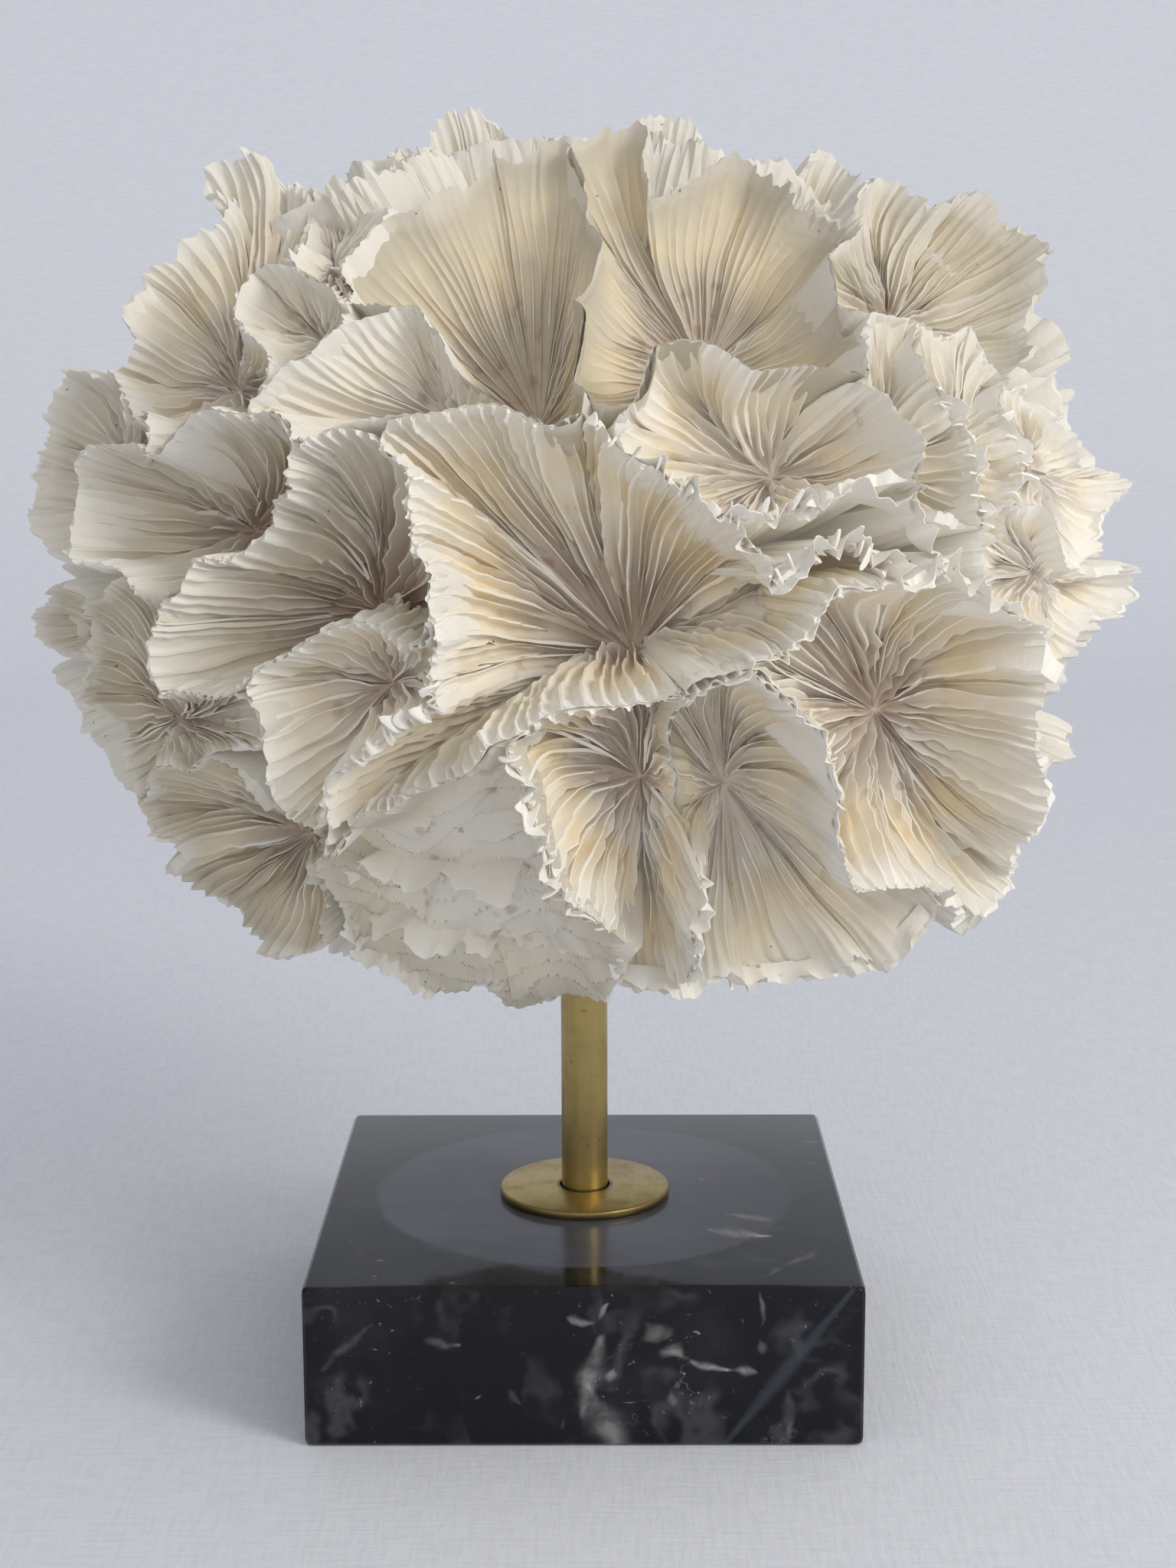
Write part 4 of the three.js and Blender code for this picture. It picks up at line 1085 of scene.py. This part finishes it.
def coral_finish():
    material, surface, place = new_finish("bleached_coral")
    depth, blade, cream_and_shade, ochre, mouth_shade = (
        place.node("ShaderNodeAttribute", {"attribute_name": mark}, {}, "Fac") for mark in CORAL_MARKS)
    cloud = place.noise(34, 2.0, 0.6)
    patch = place.noise(75, 2.0, 0.65)
    # Cream and painted shade that thin out towards the rim, ochre stain half way down, painted shade in the
    # mouth
    cream_and_shade = cream_and_shade * (0.65 + 0.7 * cloud.rise(0.35, 0.7)) * (1 - 0.55 * depth.rise(0.78, 1.0))
    colour = cream_and_shade.between(CORAL_WHITE, CORAL_CREAM_SHADE)
    middle = depth.rise(0.25, 0.55) * depth.fall(0.60, 0.98)
    colour = (middle * ochre * (0.3 + 0.7 * patch.rise(0.32, 0.66)) * 0.65).between(colour, CORAL_OCHRE)
    # Painted shade, pinkish brown, deep in the mouth of each cup
    deep = depth.fall(0.05, 0.62)
    colour = (deep * mouth_shade * (0.6 + 0.5 * cloud)).between(colour, CORAL_MOUTH_SHADE)
    # Painted shade between the blades, painted light on the blade tops, then small stains and specks
    gap = (1 - blade) * (0.06 + 0.74 * depth.fall(0.05, 0.62)) * depth.fall(1.02, 1.1)
    colour = (gap * (0.55 + 0.45 * patch.rise(0.40, 0.75))).between(colour, CORAL_SHADE)
    colour = (blade.rise(0.85, 1.0) * depth.fall(0.3, 1.0) * 0.55).between(colour, CORAL_WHITE)
    stain = place.noise(210, 1.0, 0.6).rise(0.62, 0.72) * depth.fall(0.25, 0.7)
    colour = (stain * 0.45).between(colour, CORAL_TAN)
    speck = place.noise(520, 1.0).rise(0.80, 0.83)
    colour = (speck * 0.7).between(colour, CORAL_SPECK)
    feed(surface, "Base Color", colour)
    # Painted light: a faint glow in the coral's own colour, standing in for light that soaks through the thin
    # plates
    feed(surface, "Emission Color", colour)
    surface.inputs["Emission Strength"].default_value = CORAL_PAINTED_GLOW
    grain = place.noise(620, 1.0, 0.7)
    feed(surface, "Roughness", 0.72 + 0.2 * grain)
    surface.inputs["Specular IOR Level"].default_value = 0.3
    feed_bump(surface, grain, 0.4, 0.0004)
    return material


# Blade spacing and row length on the two sides, and what the cups of the hidden side are like.
FRONT_PITCH = 2.1
BOLD_PITCH = 2.35
BOLD_PITCH_BLADE = 2.5
FRONT_ROW = 2.2
HIDDEN_PITCH = 2.9
HIDDEN_ROW = 3.2
HIDDEN_BLADE = 2.6
HIDDEN_FOLD = 2.0
# Cream with painted shade, ochre stain and painted mouth shade of the hidden cups
HIDDEN_TINT_AND_SHADE = (0.5, 0.4, 0.4)
SHARED_GAP = 1.2
FREE_RANGE = 2.5

cups = []
for piece, floor, words, blade, fold, *stain in TRACED_CUPS:
    pitch = BOLD_PITCH if blade > BOLD_PITCH_BLADE else FRONT_PITCH
    cups.append((piece, floor, flowing_line(traced_rim(words)), pitch, blade, fold, stain, FRONT_ROW))
for number, (piece, *shape) in enumerate(ROUND_CUPS):
    floor, rim = round_rim(number, *shape)
    cups.append((piece, floor, flowing_line(rim), HIDDEN_PITCH, HIDDEN_BLADE, HIDDEN_FOLD, HIDDEN_TINT_AND_SHADE,
                 HIDDEN_ROW))
grown = {}
for number, (piece, floor, line, *rest) in enumerate(cups):
    others = np.concatenate([cup[2] for k, cup in enumerate(cups) if k != number])
    near = np.array([np.linalg.norm(others - point, axis=1).min() for point in line])
    free = np.clip((near - SHARED_GAP) / FREE_RANGE, 0, 1)
    grown.setdefault(piece, []).append(grow_cup(number, floor, line, free, *rest))
for number, (piece, *fringe) in enumerate(FRINGES):
    grown[piece].append(grow_fringe(number, *fringe))
for number, (piece, *ruffle) in enumerate(RUFFLES):
    grown[piece].append(grow_ruffle(number, *ruffle))
grown["skirt"].append(grow_foot())
bleached = coral_finish()
for piece, sheets in grown.items():
    new_piece("coral_" + piece, coral_mesh("coral_" + piece, sheets), bleached, "coral")

# Floor and backdrop
# A pale cloth laid on a table and carried up behind it in one soft sweep.
FLOOR_HALF = 3.0
SWEEP_START = 0.9
SWEEP_RADIUS = 0.6
SWEEP_STEPS = 16
BACKDROP_HEIGHT = 2.5
CLOTH_PALE = (0.82, 0.84, 0.895, 1)
CLOTH_GREY = (0.66, 0.68, 0.74, 1)


def sweep_mesh():
    profile = [(-FLOOR_HALF, 0.0), (SWEEP_START, 0.0)]
    for step in range(1, SWEEP_STEPS + 1):
        turn = math.pi / 2 * step / SWEEP_STEPS
        profile.append((SWEEP_START + SWEEP_RADIUS * math.sin(turn), SWEEP_RADIUS * (1 - math.cos(turn))))
    profile.append((SWEEP_START + SWEEP_RADIUS, BACKDROP_HEIGHT))
    points = [(x, y, z) for y, z in profile for x in (-FLOOR_HALF, FLOOR_HALF)]
    faces = [(2 * i, 2 * i + 1, 2 * i + 3, 2 * i + 2) for i in range(len(profile) - 1)]
    mesh = bpy.data.meshes.new("cloth_sweep")
    mesh.from_pydata(points, [], faces)
    mesh.shade_smooth()
    return mesh


def cloth_finish():
    material, surface, place = new_finish("pale_cloth")
    warp = place.noise(900, 2.0, 0.6, (1, 0.12, 1))
    weft = place.noise(900, 2.0, 0.6, (0.12, 1, 1))
    weave = warp + weft
    colour = (0.35 * weave.rise(0.8, 1.3)).between(CLOTH_PALE, CLOTH_GREY)
    feed(surface, "Base Color", colour)
    surface.inputs["Roughness"].default_value = 0.9
    feed_bump(surface, weave, 0.25, 0.0004)
    return material


sweep = bpy.data.objects.new("cloth_sweep", sweep_mesh())
bpy.context.scene.collection.objects.link(sweep)
sweep.data.materials.append(cloth_finish())

# Light
# One large soft lamp in front, to the right and above, and a pale glow all round that is dimmer
# behind and to the left.
GLOW_DIM = (0.15, 0.16, 0.185, 1)
GLOW_BRIGHT = (0.85, 0.85, 0.86, 1)
GLOW_WAY = (0.54, -0.84, -0.05)
LAMP_PLACE = Vector((0.95, -0.75, 0.72))
LAMP_AIM = Vector((0, 0, 0.14))
LAMP_SIDE = 0.45
LAMP_POWER = 6.6
LAMP_COLOUR = (1.0, 0.97, 0.915)
world = bpy.data.worlds.new("soft_glow")
bpy.context.scene.world = world
world.use_nodes = True
background = world.node_tree.nodes["Background"]
way = Tone(world.node_tree).node("ShaderNodeTexCoord", {}, {}, "Generated")
feed(background, "Color", way.along(GLOW_WAY).rise(-1.0, 1.0).between(GLOW_DIM, GLOW_BRIGHT))
background.inputs["Strength"].default_value = 1.0
lamp = bpy.data.lights.new("soft_lamp", "AREA")
lamp.shape = "RECTANGLE"
lamp.size = LAMP_SIDE
lamp.size_y = LAMP_SIDE
lamp.energy = LAMP_POWER
lamp.color = LAMP_COLOUR
stand = bpy.data.objects.new("soft_lamp", lamp)
bpy.context.scene.collection.objects.link(stand)
stand.location = LAMP_PLACE
stand.rotation_euler = (LAMP_AIM - LAMP_PLACE).to_track_quat("-Z", "Y").to_euler()

# Camera
# Level with the crown of the coral, looking down a little on the middle of the object.
CAMERA_PLACE = (0.00287, -0.4657, 0.1954)
CAMERA_PITCH = math.radians(10.23)
CAMERA_YAW = math.radians(-0.2455)
CAMERA_ROLL = math.radians(-0.18)
FOCAL_SHARE = 3244 / 2048
SENSOR = 36
CLIP_START = 0.01
forward = Vector((math.sin(CAMERA_YAW) * math.cos(CAMERA_PITCH),
                  math.cos(CAMERA_YAW) * math.cos(CAMERA_PITCH), -math.sin(CAMERA_PITCH)))
level = Vector((math.cos(CAMERA_YAW), -math.sin(CAMERA_YAW), 0))
upright = level.cross(forward)
right = math.cos(CAMERA_ROLL) * level + math.sin(CAMERA_ROLL) * upright
above = -math.sin(CAMERA_ROLL) * level + math.cos(CAMERA_ROLL) * upright
lens = bpy.data.cameras.new("camera")
lens.sensor_width = SENSOR
lens.lens = SENSOR * FOCAL_SHARE
lens.clip_start = CLIP_START
camera = bpy.data.objects.new("camera", lens)
bpy.context.scene.collection.objects.link(camera)
pose = Matrix((right, above, -forward)).transposed().to_4x4()
pose.translation = Vector(CAMERA_PLACE)
camera.matrix_world = pose
bpy.context.scene.camera = camera
bpy.context.scene.view_settings.view_transform = "Standard"
